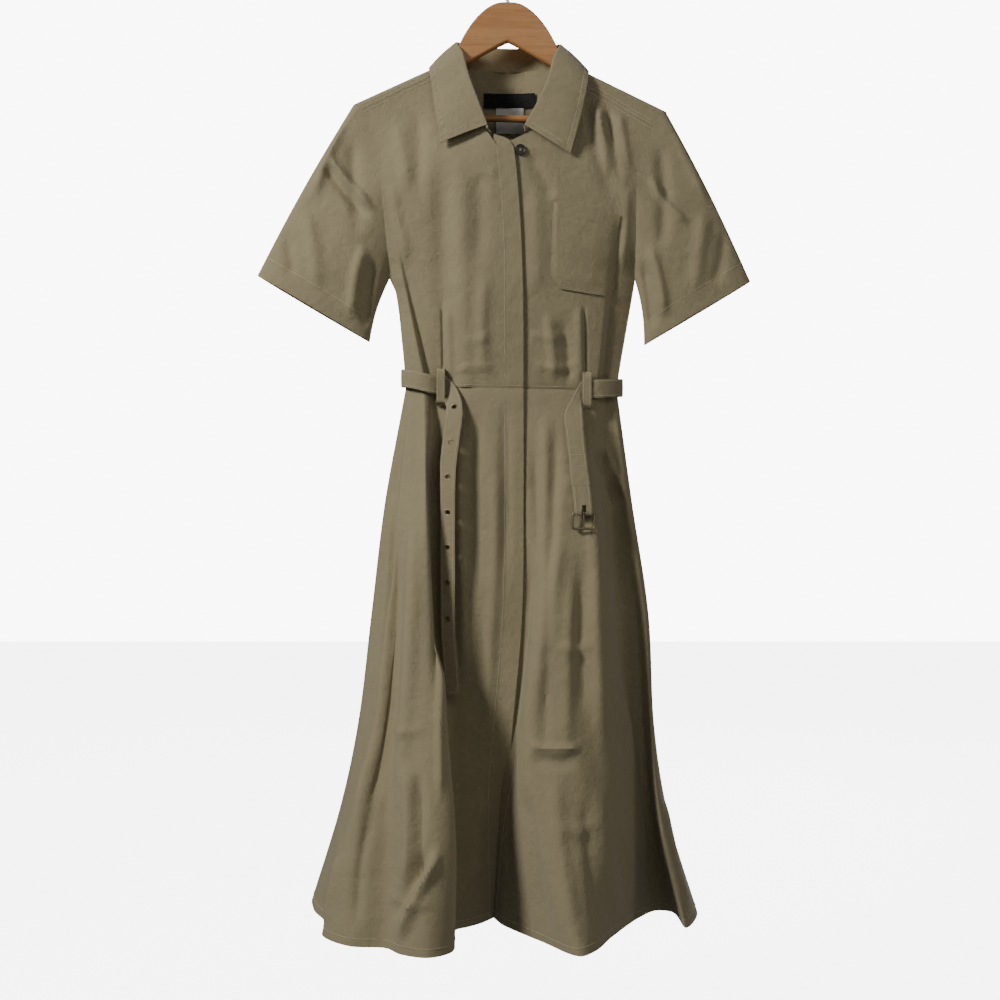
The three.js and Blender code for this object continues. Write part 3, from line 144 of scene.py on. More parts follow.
def curve_in_runs(points, corners, cuts):
    """The same curve made run by run, so that it keeps a corner at each index in corners."""
    p = np.asarray(points, float)
    ends = [0, *corners, len(p) - 1]
    runs = [curve(p[a : b + 1], cuts)[:-1] for a, b in zip(ends, ends[1:])]
    return np.concatenate([*runs, p[-1:]])


# The body's outline: armholes from the end of the shoulder's ridge to the underarm, then side seams

ARMHOLES = {
    "right": [(-206, -195), (-194, -204), (-180, -240), (-172, -278), (-167, -324), (-163, -368),
              (-160, -402), (-158, -424)],
    "left": [(210.5, -203.8), (192, -226), (178, -258), (171, -292), (170, -334), (170, -372),
             (169, -402), (169, -424)],
}
SIDE_SEAMS = {
    "right": [(-149, -446), (-140, -524), (-136, -573)],
    "left": [(166, -446), (148, -550), (145, -575)],
}
EDGE_DEPTH = {"z": [-195, -240, -290, -340, -390, -424, -575], "y": [9, 17, 22, 20, 12, SIDE_SEAM_Y, SIDE_SEAM_Y]}
BODY_FOLDS = [
    {"name": "right side fold", "x": (-153, -105), "z": (-350, -573), "grows": 130, "crest": 9,
     "back": 12, "crest_wide": 18, "back_wide": 15},
    {"name": "left side fold", "x": (138, 121), "z": (-400, -573), "grows": 110, "crest": 7,
     "back": 13, "crest_wide": 22, "back_wide": 12},
    {"name": "below right collar point", "x": (-88, -84), "z": (-250, -573), "grows": 80,
     "forward": -5, "wide": 14},
    {"name": "right front ridge", "x": (-64, -58), "z": (-260, -573), "grows": 80, "forward": 4,
     "wide": 13},
    {"name": "left shoulder crease", "x": (132, 164), "z": (-235, -330), "grows": 35, "forward": 4,
     "wide": 9},
    {"name": "left shoulder hollow", "x": (112, 140), "z": (-225, -340), "grows": 35, "forward": -4,
     "wide": 11},
]

# Creases: a soft ridge (height above 0) or trough along a path of x and z, Gaussian across
BODICE_FRONT_CREASES = [
    {"path": [(-87, -457), (-86, -500), (-85, -572)], "wide": 2.2, "high": -1.5},
    {"path": [(-80, -452), (-79, -520), (-77, -572)], "wide": 7, "high": 1.6},
    {"path": [(99, -457), (101, -510), (102, -572)], "wide": 2.2, "high": -1.5},
    {"path": [(93, -460), (94, -520), (95, -572)], "wide": 7, "high": 1.4},
    {"path": [(118, -192), (124, -240), (132, -300)], "wide": 6, "high": 2.2},
    {"path": [(131, -196), (137, -240), (150, -310)], "wide": 5, "high": -2},
    {"path": [(146, -205), (152, -240), (163, -300)], "wide": 5.5, "high": 2},
    {"path": [(106, -190), (108, -230), (112, -262)], "wide": 5, "high": -1.4},
    {"path": [(160, -300), (156, -360), (150, -420)], "wide": 8, "high": 2.4},
    {"path": [(150, -340), (143, -400), (136, -470)], "wide": 7, "high": -2.2},
    {"path": [(-150, -215), (-140, -260), (-134, -320)], "wide": 9, "high": 1.6},
    {"path": [(-122, -200), (-117, -260), (-118, -330)], "wide": 9, "high": -1.4},
    {"path": [(-158, -300), (-146, -350), (-132, -420)], "wide": 8, "high": 1.8},
    {"path": [(-40, -280), (-36, -340), (-38, -420)], "wide": 11, "high": -1.2},
    {"path": [(-30, -420), (-34, -490), (-33, -565)], "wide": 9, "high": 1.4},
    {"path": [(34, -300), (38, -380), (36, -460)], "wide": 12, "high": 1.2},
    {"path": [(50, -470), (58, -520), (60, -570)], "wide": 8, "high": 1.6},
    {"path": [(70, -480), (78, -530), (80, -572)], "wide": 6, "high": -1.3},
    {"path": [(28, -540), (60, -548), (96, -541)], "wide": 5, "high": 0.9},
    {"path": [(-76, -552), (-44, -545), (-16, -549)], "wide": 5, "high": 0.8},
    {"path": [(26, -500), (52, -508), (84, -498)], "wide": 6, "high": 0.7},
    {"path": [(-60, -505), (-40, -512), (-22, -503)], "wide": 6, "high": 0.7},
    {"path": [(24, -262), (46, -300), (58, -328)], "wide": 9, "high": -1.3},
    {"path": [(-12, -300), (-30, -292), (-52, -300)], "wide": 6, "high": 0.6},
]
BODICE_BACK_CREASES = [
    {"path": [(-70, -190), (-66, -260), (-72, -340)], "wide": 11, "high": 2},
    {"path": [(60, -200), (66, -270), (60, -350)], "wide": 11, "high": 1.8},
    {"path": [(-150, -300), (-128, -360), (-112, -430)], "wide": 9, "high": 2.6},
    {"path": [(-138, -280), (-120, -340), (-98, -420)], "wide": 8, "high": -2.2},
    {"path": [(150, -300), (132, -370), (116, -440)], "wide": 9, "high": 2.6},
    {"path": [(140, -280), (120, -350), (100, -430)], "wide": 8, "high": -2.2},
    {"path": [(-80, -450), (-78, -510), (-76, -572)], "wide": 2.2, "high": -1.5},
    {"path": [(84, -450), (82, -510), (80, -572)], "wide": 2.2, "high": -1.5},
    {"path": [(-40, -540), (0, -532), (44, -541)], "wide": 6, "high": 1.2},
    {"path": [(-60, -520), (-20, -512), (20, -516)], "wide": 7, "high": 1},
    {"path": [(-20, -440), (-24, -500), (-18, -565)], "wide": 12, "high": 1.6},
    {"path": [(24, -420), (30, -490), (26, -565)], "wide": 12, "high": -1.4},
]


def outline_of(side):
    """The heights and half widths of one side of the body."""
    places = [*ARMHOLES[side], *SIDE_SEAMS[side]]
    return [z for _, z in places], [abs(x) for x, _ in places]


OUTLINES = {side: outline_of(side) for side in ("right", "left")}


def half_width(side, z):
    """Half the body's width at a height, from its outline."""
    return through(*OUTLINES[side], z)


def ridge_z(x):
    """The height of the shoulder's ridge, which falls away from the neck and tilts with the hanger."""
    return RIDGE_AT_NECK - SHOULDER_SLOPE * (np.abs(x) - NECK_HALF) - TILT * x


def waist_z(x):
    """The height of the waist seam."""
    return WAIST_Z - TILT * x


def fold_forward(fold, x, z):
    """How far a fold moves the front forward. A step has a crest toward the side and a recess toward the
    other side of its line, both fading away from it. A soft line is a Gaussian ridge or hollow."""
    (x0, x1), (z0, z1) = fold["x"], fold["z"]
    t = (z - z0) / (z1 - z0)
    full = smooth((z0 - z) / fold["grows"])
    ending = 1.0 if z1 <= WAIST_Z + 1 else smooth((1 - t) * 2.5)
    d = x - lerp(x0, x1, t)
    if "forward" in fold:
        made = full * ending * fold["forward"] * np.exp(-((d / fold["wide"]) ** 2))
    else:
        to_crest = 0.5 + 0.5 * np.tanh(-d / 2.5)
        crest = fold["crest"] * np.exp(-np.maximum(-d, 0) / fold["crest_wide"])
        back = fold["back"] * np.exp(-np.maximum(d, 0) / fold["back_wide"])
        made = full * ending * (to_crest * crest - (1 - to_crest) * back)
    return np.where((t < 0) | (t > 1.05), 0.0, made)


CREASE_DEPTH = 3.0


def creased(creases, x, z):
    """The sum of the creases at places x and z, times the depth that all share. Each is a Gaussian of the
    distance to its path, which is followed in short straight steps, and fades out at both ends."""
    total = np.zeros(np.broadcast(x, z).shape)
    for crease in creases:
        path = curve(np.asarray(crease["path"], float), 6)
        share = np.linspace(0, 1, len(path))
        best = np.full(total.shape, 1e9)
        where = np.zeros(total.shape)
        for k, (a, b) in enumerate(zip(path, path[1:])):
            run = b - a
            t = np.clip(((x - a[0]) * run[0] + (z - a[1]) * run[1]) / (run @ run), 0, 1)
            far = (x - a[0] - t * run[0]) ** 2 + (z - a[1] - t * run[1]) ** 2
            nearer = far < best
            best = np.where(nearer, far, best)
            where = np.where(nearer, lerp(share[k], share[k + 1], t), where)
        fade = smooth(where * 4) * smooth((1 - where) * 4)
        total += crease["high"] * fade * np.exp(-best / crease["wide"] ** 2)
    return total * CREASE_DEPTH


def body_depth(front, x, z):
    """How far the body's outer face stands from its middle plane: a circle's arc over the shoulder's ridge,
    a full depth lower down that falls to the side seam by the cube of the distance, and the folds."""
    half = np.where(x < 0, half_width("right", z), half_width("left", z))
    t = np.minimum(np.abs(x) / half, 1)
    drop = ridge_z(x) - z
    low = smooth((z - LOW_FROM) / (WAIST_Z - LOW_FROM))
    chest, waist = (CHEST_DEPTH, WAIST_DEPTH) if front else (BACK_CHEST_DEPTH, BACK_WAIST_DEPTH)
    edge = through(EDGE_DEPTH["z"], EDGE_DEPTH["y"], z)
    across = t**3
    full = lerp(chest, waist, low) * (1 - across) + edge * across
    lowered = np.clip(drop / SHOULDER_ROUND, 0, 1)
    over = SHOULDER_ROUND * np.sqrt(np.maximum(1 - (1 - lowered) ** 2, 0))
    reached = smooth((drop - SHOULDER_ROUND) / DEPTH_REACH)
    depth = over + (full - SHOULDER_ROUND) * reached
    away = 1 - t**6
    if front:
        for fold in BODY_FOLDS:
            depth = depth + away * fold_forward(fold, x, z)
        depth = depth + away * creased(BODICE_FRONT_CREASES, x, z)
    else:
        depth = depth + NECK_BULGE * np.exp(-((x / NECK_BULGE_WIDTH) ** 2)) * (1 - reached)
        depth = depth + away * creased(BODICE_BACK_CREASES, x, z)
    return np.maximum(depth, np.minimum(SIDE_SEAM_Y, over))


def front_y(x, z):
    """The outer face of the front."""
    return -body_depth(True, x, z)


def right_front_y(x, z):
    """The right front laps over the left, so it stands further out beside its edge."""
    return front_y(x, z) - LAP * smooth((x + 20 + LAP_FADE) / LAP_FADE)


def back_y(x, z):
    """The outer face of the back."""
    return body_depth(False, x, z)


# Bodice panels


RIGHT_FRONT = [
    (8, -264, 20), (-14, -257, 6), (-25, -242, -6), (-46, -214, -20), (-68, -186, -33),
    (-87, -153, -48), (-122, -170, -64), (-158, -187, -78), (-194, -204, -88), (-180, -240, -95),
    (-172, -278, -100), (-167, -324, -104), (-163, -368, -109), (-160, -402, -121), (-158, -424, -136),
]
LEFT_FRONT = [
    (-16, -252, -5), (3, -250, 8), (22, -241, 20), (46, -216, 33), (68, -192, 46), (87, -166, 58),
    (122, -185, 72), (157, -206, 88), (192, -226, 101), (178, -258, 110), (171, -292, 116),
    (170, -334, 120), (170, -372, 124), (169, -402, 132), (169, -424, 145),
]
FRONT_CORNERS = {"right": [2, 5, 8], "left": [2, 5, 8]}
WAIST_HALF = {"right": 136, "left": 145}


def grid(x, y, z):
    """Three arrays as one array of points."""
    return np.stack(np.broadcast_arrays(x, y, z), axis=-1).astype(float)


def column_places(side, tops, v):
    """Places down the columns of a front at shares v of their length. Near the centre x eases to its place at
    the waist, and near the armhole it keeps a falling share of the body's width."""
    x_top, z_top, x_waist = tops[..., 0], tops[..., 1], tops[..., 2]
    z_low = waist_z(x_waist) + SEAM / 2
    z = lerp(z_top, z_low, v)
    widest = abs(ARMHOLES[side][1][0])
    width = lambda at: np.minimum(half_width(side, at), widest)
    share = lerp(x_top / width(z_top), x_waist / width(z_low), 0.35 * smooth(v) + 0.65 * v)
    eased = lerp(x_top, x_waist, 1 - (1 - v) ** 3)
    outer = smooth((np.abs(x_top) / widest - 0.3) / 0.6)
    return lerp(eased, share * width(z), outer), z


def front_grid(side, table, y_at, cuts, rows):
    """A front panel: columns from the neck, shoulder seam and armhole down to the waist, with its depth from
    y_at, a function of x and z. It is drawn in a little along the waist seam."""
    tops = curve_in_runs(table, FRONT_CORNERS[side], cuts)
    v = np.linspace(0, 1, rows + 1)[:, None]
    x, z = column_places(side, tops[None], v)
    to_waist = np.maximum(z - waist_z(x), 0)
    drawn = 1.1 * np.exp(-((to_waist / 3.5) ** 2))
    return grid(x, y_at(x, z) + drawn, z)


def drop_at(past):
    """How far below the ridge a place is, by its distance past it along the cloth."""
    p = np.abs(past)
    round_part = SHOULDER_ROUND * (1 - np.cos(np.minimum(p, QUARTER) / SHOULDER_ROUND))
    return np.where(p < QUARTER, round_part, SHOULDER_ROUND + p - QUARTER)


def past_at(drop):
    """The distance past the ridge at which the cloth has come down by a drop."""
    d = np.asarray(drop, float)
    inside = np.arccos(np.clip(1 - np.clip(d, 0, SHOULDER_ROUND) / SHOULDER_ROUND, -1, 1))
    return np.where(d > SHOULDER_ROUND, d - SHOULDER_ROUND + QUARTER, SHOULDER_ROUND * inside)


# The back's columns: what gives the top's x and its distance past the ridge, and the share at the waist
BACK_HALF = [
    ("armhole", 7, 1.0), ("armhole", 6, 0.9), ("armhole", 5, 0.84), ("armhole", 4, 0.79),
    ("armhole", 3, 0.74), ("armhole", 2, 0.7), ("armhole", 1, 0.67), ("armhole", 0, 0.64),
    ("seam", 8, 0.6), ("seam", 7, 0.5), ("seam", 6, 0.4), ("seam", 5, 0.32),
    ("past", (86.6, -8), 0.305), ("past", (85.8, 0), 0.29), ("past", (80, 11), 0.25),
    ("height", (56, -144), 0.16), ("height", (28, -143), 0.08),
]
BACK_CORNERS = [7, 8, 11]
CENTRE_BACK_NECK_Z = -143
BACK_STATIONS = [-30, -12, -8, -4, 0, 4, 8, 12, 18, 32, 55, 90, 135, 185, 240, 300, 360, 500]
STATION_STEP = 1.2
DRAW_IN = 0.1
DRAW_IN_REACH = 25
DRAW_IN_FROM = 0.6
DRAW_IN_FADE = 0.35
NARROWING = 1.6
SETTLING_TURNS = 12


def back_column(row, side):
    """The top's x, its distance past the ridge and the waist's x of a column of the back."""
    kind, place, waist = row
    sign = -1 if side == "right" else 1
    low = sign * waist * WAIST_HALF[side]
    if kind == "seam":
        x, z, _ = (RIGHT_FRONT if side == "right" else LEFT_FRONT)[place]
        return [x, -float(past_at(ridge_z(x) - z - SEAM)), low]
    if kind == "armhole":
        x, z = ARMHOLES[side][place]
        return [x, float(past_at(ridge_z(x) - z)), low]
    if kind == "past":
        return [sign * place[0], place[1], low]
    x = sign * place[0]
    return [x, float(past_at(ridge_z(x) - place[1])), low]


def back_columns(cuts):
    """All the columns from the right underarm to the left one."""
    right = [back_column(row, "right") for row in BACK_HALF]
    left = [back_column(row, "left") for row in reversed(BACK_HALF)]
    centre = [[0, float(past_at(ridge_z(0) - CENTRE_BACK_NECK_Z)), 0]]
    count = len(right) * 2 + 1
    corners = [*BACK_CORNERS, *(count - 1 - k for k in reversed(BACK_CORNERS))]
    return curve_in_runs(right + centre + left, corners, cuts)


def back_grid(cuts, row_cuts):
    """The back panel, from the forward shoulder seams over the ridge to the waist. A place keeps a falling
    share of the body's width at its height, found by repeating the step a few times."""
    x_top, past_top, x_waist = (q[None, :] for q in back_columns(cuts).T)
    last = len(BACK_STATIONS) - 1
    k = (np.arange(last * row_cuts + 1) / row_cuts)[:, None]
    station = np.interp(k, np.arange(last + 1), BACK_STATIONS)
    past_waist = past_at(ridge_z(x_waist) - waist_z(x_waist) - SEAM / 2)
    past = np.maximum(station, past_top + STATION_STEP * k)
    before = np.maximum(BACK_STATIONS[last - 1], past_top + STATION_STEP * (last - 1))
    past = np.where(k > last - 1, lerp(before, past_waist, k - (last - 1)), past)
    past = np.where(k == 0, past_top, past)
    right = x_top < 0
    widest = np.where(right, abs(ARMHOLES["right"][0][0]), abs(ARMHOLES["left"][0][0]))

    def width(x, at):
        z = ridge_z(x) - drop_at(at)
        return np.where(at < 0, widest, np.where(right, half_width("right", z), half_width("left", z)))

    down = np.clip((past - past_top) / (past_waist - past_top), 0, 1)
    share_low = x_waist / width(x_waist, past_waist)
    share_top = x_top / width(x_top, past_top)
    outer = smooth((np.abs(share_top) - DRAW_IN_FROM) / DRAW_IN_FADE)
    drawn = outer * DRAW_IN * (1 - np.abs(share_low)) * smooth((past - past_top) / DRAW_IN_REACH)
    share = lerp(share_top, share_low, down**NARROWING) * (1 - drawn * (1 - down))
    x = lerp(x_top, x_waist, down)
    for _ in range(SETTLING_TURNS):
        x = share * width(x, past)
    z = ridge_z(x) - drop_at(past)
    y = np.where(past < 0, front_y(x, z), back_y(x, z))
    to_waist = np.maximum(z - waist_z(x), 0)
    return grid(x, y - 1.1 * np.exp(-((to_waist / 3.5) ** 2)) * (past > 0), z)


# Buttonhole band inside the right front's edge, seen at its curled top

FLY_TOP = [(0, -259), (6, -250), (14, -246), (26, -242)]
FLY_INSET = 0.8
FLY_BEHIND = 2.2


def fly_grid(cuts, rows):
    """A strip that follows the right front's edge from behind."""
    top = curve(FLY_TOP, cuts)
    v = np.linspace(0, 1, rows + 1)[:, None]
    z = lerp(top[None, :, 1], WAIST_Z + SEAM, v)
    edge = np.array(RIGHT_FRONT[0], float)
    share = np.clip((z - edge[1]) / (WAIST_Z - edge[1]), 0, 1)
    x = column_places("right", edge, share)[0] - FLY_INSET - top[None, :, 0]
    return grid(x, right_front_y(x, z) + FLY_BEHIND, z)


# Skirt: lines down its ridges and valleys, from the right front's edge round the back to the left's.
# Each has its x at the waist and its x and y at the hip, thigh, knee, calf and hem.

LEVEL_Z = [WAIST_Z, -720, -870, -1020, -1145, HEM_Z]
SKIRT_LINES = [
    ("right front edge", 20, (20, -38), (18, -45), (5, -48), (-5, -20), (-12, 0)),
    ("dark valley", -30, (-30, -37), (-28, -42), (-30, -42), (-32, -38), (-34, -36)),
    ("behind strap", -68, (-66, -31), (-62, -37), (-54, -42), (-50, -46), (-52, -54)),
    ("valley beside crest", -97, (-93, -24), (-92, -32), (-81, -46), (-72, -56), (-68, -68)),
    ("crest", -106, (-98, -58), (-90, -88), (-77, -118), (-67, -143), (-69, -156)),
    ("bulge", -111, (-106, -63), (-103, -90), (-97, -123), (-95, -157), (-97, -179)),
    ("right ridge", -115, (-114, -54), (-121, -86), (-125, -112), (-125, -140), (-131, -166)),
    ("right valley", -119, (-123, -46), (-136, -66), (-146, -86), (-152, -114), (-152, -141)),
    ("side ridge", -123, (-133, -42), (-147, -62), (-161, -88), (-188, -112), (-196, -134)),
    ("side fold edge", -127, (-142, -36), (-156, -54), (-171, -78), (-207, -94), (-235, -92)),
    ("side recess", -131, (-146, -18), (-155, -26), (-168, -38), (-203, -46), (-238, -36)),
    ("right side", -136, (-162, -3), (-180, 3), (-198, 14), (-226, 36), (-262, 26)),
    ("right back corner", -128, (-158, 26), (-178, 46), (-199, 70), (-228, 100), (-266, 96)),
    ("back 1", -102, (-114, 22), (-128, 30), (-146, 44), (-166, 60), (-192, 80)),
    ("back 2", -70, (-80, 36), (-88, 58), (-96, 85), (-105, 110), (-118, 130)),
    ("back 3", -36, (-40, 28), (-46, 35), (-50, 46), (-53, 60), (-58, 76)),
    ("back 4", 0, (0, 40), (-2, 62), (-3, 90), (-4, 114), (-5, 134)),
    ("back 5", 36, (40, 30), (46, 37), (51, 50), (55, 65), (60, 80)),
    ("back 6", 72, (80, 38), (90, 57), (98, 82), (106, 104), (116, 124)),
    ("back 7", 106, (118, 24), (132, 30), (148, 40), (166, 54), (188, 72)),
    ("left back corner", 136, (158, 20), (178, 33), (190, 48), (210, 66), (240, 86)),
    ("left side", 145, (165, 1), (187, 3), (195, 5), (215, 10), (254, 14)),
    ("side strip edge", 140, (158, -18), (180, -24), (188, -27), (200, -40), (229, -58)),
    ("strip recess", 135, (146, -16), (168, -13), (178, -8), (192, 2), (219, 14)),
    ("left valley", 129, (126, -22), (150, -24), (161, -16), (178, 0), (200, 20)),
    ("crest beside valley", 119, (107, -47), (127, -61), (130, -69), (150, -58), (175, -10)),
    ("crest shoulder", 106, (95, -51), (107, -67), (106, -80), (124, -94), (131, -96)),
    ("broad front", 92, (82, -52), (84, -71), (78, -89), (95, -119), (106, -153)),
    ("left ridge", 70, (66, -52), (46, -75), (26, -84), (42, -117), (86, -173)),
    ("beside placket", 42, (38, -42), (32, -56), (15, -63), (13, -77), (42, -116)),
    ("under placket", 21, (22, -35), (27, -43), (11, -47.5), (1, -48), (-2, -54)),
    ("left front edge", -5, (-4, -34.5), (20.5, -41.5), (7.6, -45), (-2.5, -43), (-9, -42)),
]
LINE_NAMES = [row[0] for row in SKIRT_LINES]
RIGHT_SIDE = LINE_NAMES.index("right side")
LEFT_SIDE = LINE_NAMES.index("left side")
SKIRT_CREASES = {
    "right front": [
        {"path": [(-100, -615), (-92, -799), (-89, -982)], "wide": 7, "high": -3.4},
        {"path": [(-144, -720), (-152, -982), (-178, -1139)], "wide": 9, "high": -3.0},
        {"path": [(-122, -640), (-126, -916), (-142, -1178)], "wide": 9, "high": 2.4},
        {"path": [(-60, -600), (-64, -720), (-58, -860), (-56, -960)], "wide": 7, "high": 1.8},
        {"path": [(-40, -590), (-44, -700), (-42, -860)], "wide": 9, "high": -1.6},
        {"path": [(-20, -620), (-16, -760), (-22, -900), (-26, -1040)], "wide": 8, "high": 1.6},
        {"path": [(-4, -580), (-2, -700), (-6, -840)], "wide": 7, "high": -1.2},
        {"path": [(-82, -1141), (-110, -1200), (-138, -1262)], "wide": 6, "high": 3},
        {"path": [(-92, -1130), (-120, -1190), (-146, -1240)], "wide": 7, "high": -2.2},
        {"path": [(-124, -1040), (-122, -1120), (-126, -1218)], "wide": 7, "high": 2.6},
        {"path": [(-112, -1050), (-110, -1130), (-112, -1200)], "wide": 6, "high": -2.4},
        {"path": [(-160, -900), (-176, -1020), (-196, -1150)], "wide": 8, "high": 1.8},
        {"path": [(-150, -700), (-158, -840), (-168, -960)], "wide": 5, "high": 1.6},
        {"path": [(-84, -900), (-86, -1010), (-84, -1100)], "wide": 5, "high": 1.6},
        {"path": [(-30, -1100), (-42, -1160), (-40, -1240)], "wide": 9, "high": 1.5},
        {"path": [(-170, -1100), (-186, -1180), (-190, -1262)], "wide": 8, "high": -2},
        {"path": [(-214, -1160), (-226, -1210), (-240, -1264)], "wide": 8, "high": 2},
        {"path": [(-100, -1000), (-130, -1012), (-152, -1004)], "wide": 6, "high": 1},
        {"path": [(-90, -1205), (-120, -1216), (-150, -1208)], "wide": 6, "high": 1},
    ],
    "left front": [
        {"path": [(140, -628), (146, -799), (166, -1061)], "wide": 9, "high": -2.8},
        {"path": [(112, -650), (112, -851), (120, -1061)], "wide": 10, "high": 2.2},
        {"path": [(62, -610), (52, -820), (44, -1080)], "wide": 8, "high": -2.6},
        {"path": [(22, -1030), (58, -1036), (96, -1034)], "wide": 5, "high": 1.8},
        {"path": [(24, -1046), (56, -1052), (92, -1049)], "wide": 6, "high": -1.4},
        {"path": [(118, -640), (138, -676), (156, -719)], "wide": 5, "high": 2.4},
        {"path": [(110, -650), (128, -690), (146, -730)], "wide": 5, "high": -2},
        {"path": [(48, -600), (52, -700), (48, -800)], "wide": 8, "high": 1.6},
        {"path": [(62, -760), (50, -880), (40, -1000)], "wide": 9, "high": 1.8},
        {"path": [(34, -640), (36, -760), (30, -880)], "wide": 6, "high": -1.5},
        {"path": [(100, -780), (92, -900), (98, -1010)], "wide": 11, "high": -1.8},
        {"path": [(84, -800), (76, -930), (72, -1060)], "wide": 9, "high": 1.6},
        {"path": [(60, -1060), (62, -1140), (84, -1262)], "wide": 10, "high": 2},
        {"path": [(22, -1080), (30, -1160), (48, -1262)], "wide": 8, "high": -1.8},
        {"path": [(110, -1080), (124, -1160), (140, -1262)], "wide": 11, "high": 1.8},
        {"path": [(96, -1090), (104, -1180), (116, -1262)], "wide": 9, "high": -1.8},
        {"path": [(150, -960), (164, -1080), (184, -1230)], "wide": 8, "high": 1.8},
        {"path": [(60, -905), (84, -912), (112, -902)], "wide": 7, "high": 1.1},
        {"path": [(56, -1125), (84, -1134), (118, -1122)], "wide": 8, "high": 1.1},
        {"path": [(70, -690), (92, -700), (108, -692)], "wide": 6, "high": 0.9},
        {"path": [(204, -1100), (216, -1180), (238, -1262)], "wide": 7, "high": 1.6},
    ],
    "back": [
        {"path": [(-92, -640), (-100, -760), (-112, -900)], "wide": 8, "high": 1.8},
        {"path": [(-20, -620), (-24, -760), (-22, -900)], "wide": 8, "high": 1.6},
        {"path": [(20, -700), (26, -860), (30, -1040)], "wide": 9, "high": -1.6},
        {"path": [(96, -640), (108, -780), (118, -930)], "wide": 8, "high": 1.6},
        {"path": [(-150, -900), (-160, -1040), (-180, -1200)], "wide": 9, "high": -2},
        {"path": [(-70, -980), (-82, -1100), (-90, -1240)], "wide": 9, "high": 2},
        {"path": [(-28, -1060), (-30, -1160), (-34, -1262)], "wide": 9, "high": 1.8},
        {"path": [(70, -960), (80, -1090), (88, -1240)], "wide": 9, "high": 1.8},
        {"path": [(150, -900), (168, -1060), (200, -1230)], "wide": 9, "high": -1.8},
        {"path": [(-60, -900), (-20, -908), (16, -900)], "wide": 7, "high": 1.2},
        {"path": [(40, -1050), (84, -1060), (120, -1048)], "wide": 7, "high": 1.2},
        {"path": [(-130, -1120), (-96, -1130), (-60, -1121)], "wide": 7, "high": 1.2},
    ],
}


def waist_points():
    """The skirt's lines at the waist, as x and y on the bodice's own outline."""
    x = np.array([row[1] for row in SKIRT_LINES], float)
    z = waist_z(x)
    index = np.arange(len(x))
    y = np.where(index <= RIGHT_SIDE, right_front_y(x, z), front_y(x, z))
    y = np.where((index > RIGHT_SIDE) & (index < LEFT_SIDE), back_y(x, z), y)
    y = np.where((index == RIGHT_SIDE) | (index == LEFT_SIDE), 0, y)
    return np.stack([x, y], axis=-1)


def skirt_rings(levels, cuts):
    """Rings of the skirt at heights: a smooth curve across the lines, whose places run smoothly from level to
    level. The waist's tilt fades out toward the hem."""
    lows = np.array([row[2:] for row in SKIRT_LINES], float).transpose(1, 0, 2)
    table = np.concatenate([waist_points()[None], lows])
    flat = through(LEVEL_Z, table.reshape(len(LEVEL_Z), -1), levels)
    places = flat.reshape(len(levels), len(SKIRT_LINES), 2)
    down = (WAIST_Z - levels) / (WAIST_Z - HEM_Z)
    z = levels[:, None] - TILT * table[0][None, :, 0] * (1 - down[:, None])
    return curve(grid(places[..., 0], places[..., 1], z), cuts)


SKIRT_PANELS = {
    "right front": (0, RIGHT_SIDE),
    "back": (RIGHT_SIDE, LEFT_SIDE),
    "left front": (LEFT_SIDE, len(SKIRT_LINES) - 1),
}


def skirt_panels(cuts, rows):
    """Each panel's outer face, with its creases added along the way it faces and its waist edge drawn in."""
    levels = np.linspace(WAIST_Z - SEAM / 2, HEM_Z, rows + 1)
    whole = skirt_rings(levels, cuts)
    out = -facing(whole)
    made = {}
    for name, (first, last) in SKIRT_PANELS.items():
        part = slice(first * cuts, last * cuts + 1)
        points, ways = whole[:, part], out[:, part]
        lift = creased(SKIRT_CREASES[name], points[..., 0], points[..., 2])
        below = waist_z(points[..., 0]) - points[..., 2]
        lift = lift * smooth(below / 25) - 1.1 * np.exp(-((below / 3.5) ** 2))
        side = np.linspace(0, 1, points.shape[1])
        at_edges = np.minimum(smooth(side * 25), smooth((1 - side) * 25))
        made[name] = points + ways * (lift * at_edges)[..., None]
    made["left front"] = under_placket(made["left front"], made["right front"], cuts)
    return made


UNDERLAP = 13
UNDERLAP_BEHIND = 4.2


def under_placket(left, right, cuts):
    """The left front with columns added behind the right front's edge. Each column repeats one of the right
    front's, moved back by a share of the depth that grows within the first few of them."""
    edge = left[:, -1:]
    share = np.linspace(0, 1, cuts + 1)[None, 1:, None]
    target = right[:, :1] + np.array([-UNDERLAP, UNDERLAP_BEHIND, 0])
    return np.concatenate([left, lerp(edge, target, share)], axis=1)


# Walls


def facing(points, closed=False):
    """The way that each point of a grid faces: along its columns, across along its rows."""
    down = np.gradient(points, axis=0)
    if closed:
        across = np.roll(points, -1, axis=1) - np.roll(points, 1, axis=1)
    else:
        across = np.gradient(points, axis=1)
    n = np.cross(down, across)
    return n / np.maximum(np.linalg.norm(n, axis=-1, keepdims=True), 1e-9)


def lengths(points, axis):
    """Distances along a grid from its first row or column, in metres."""
    steps = np.linalg.norm(np.diff(points, axis=axis), axis=-1)
    pad = [(0, 0), (0, 0)]
    pad[axis] = (1, 0)
    return np.cumsum(np.pad(steps, pad), axis=axis) * MM


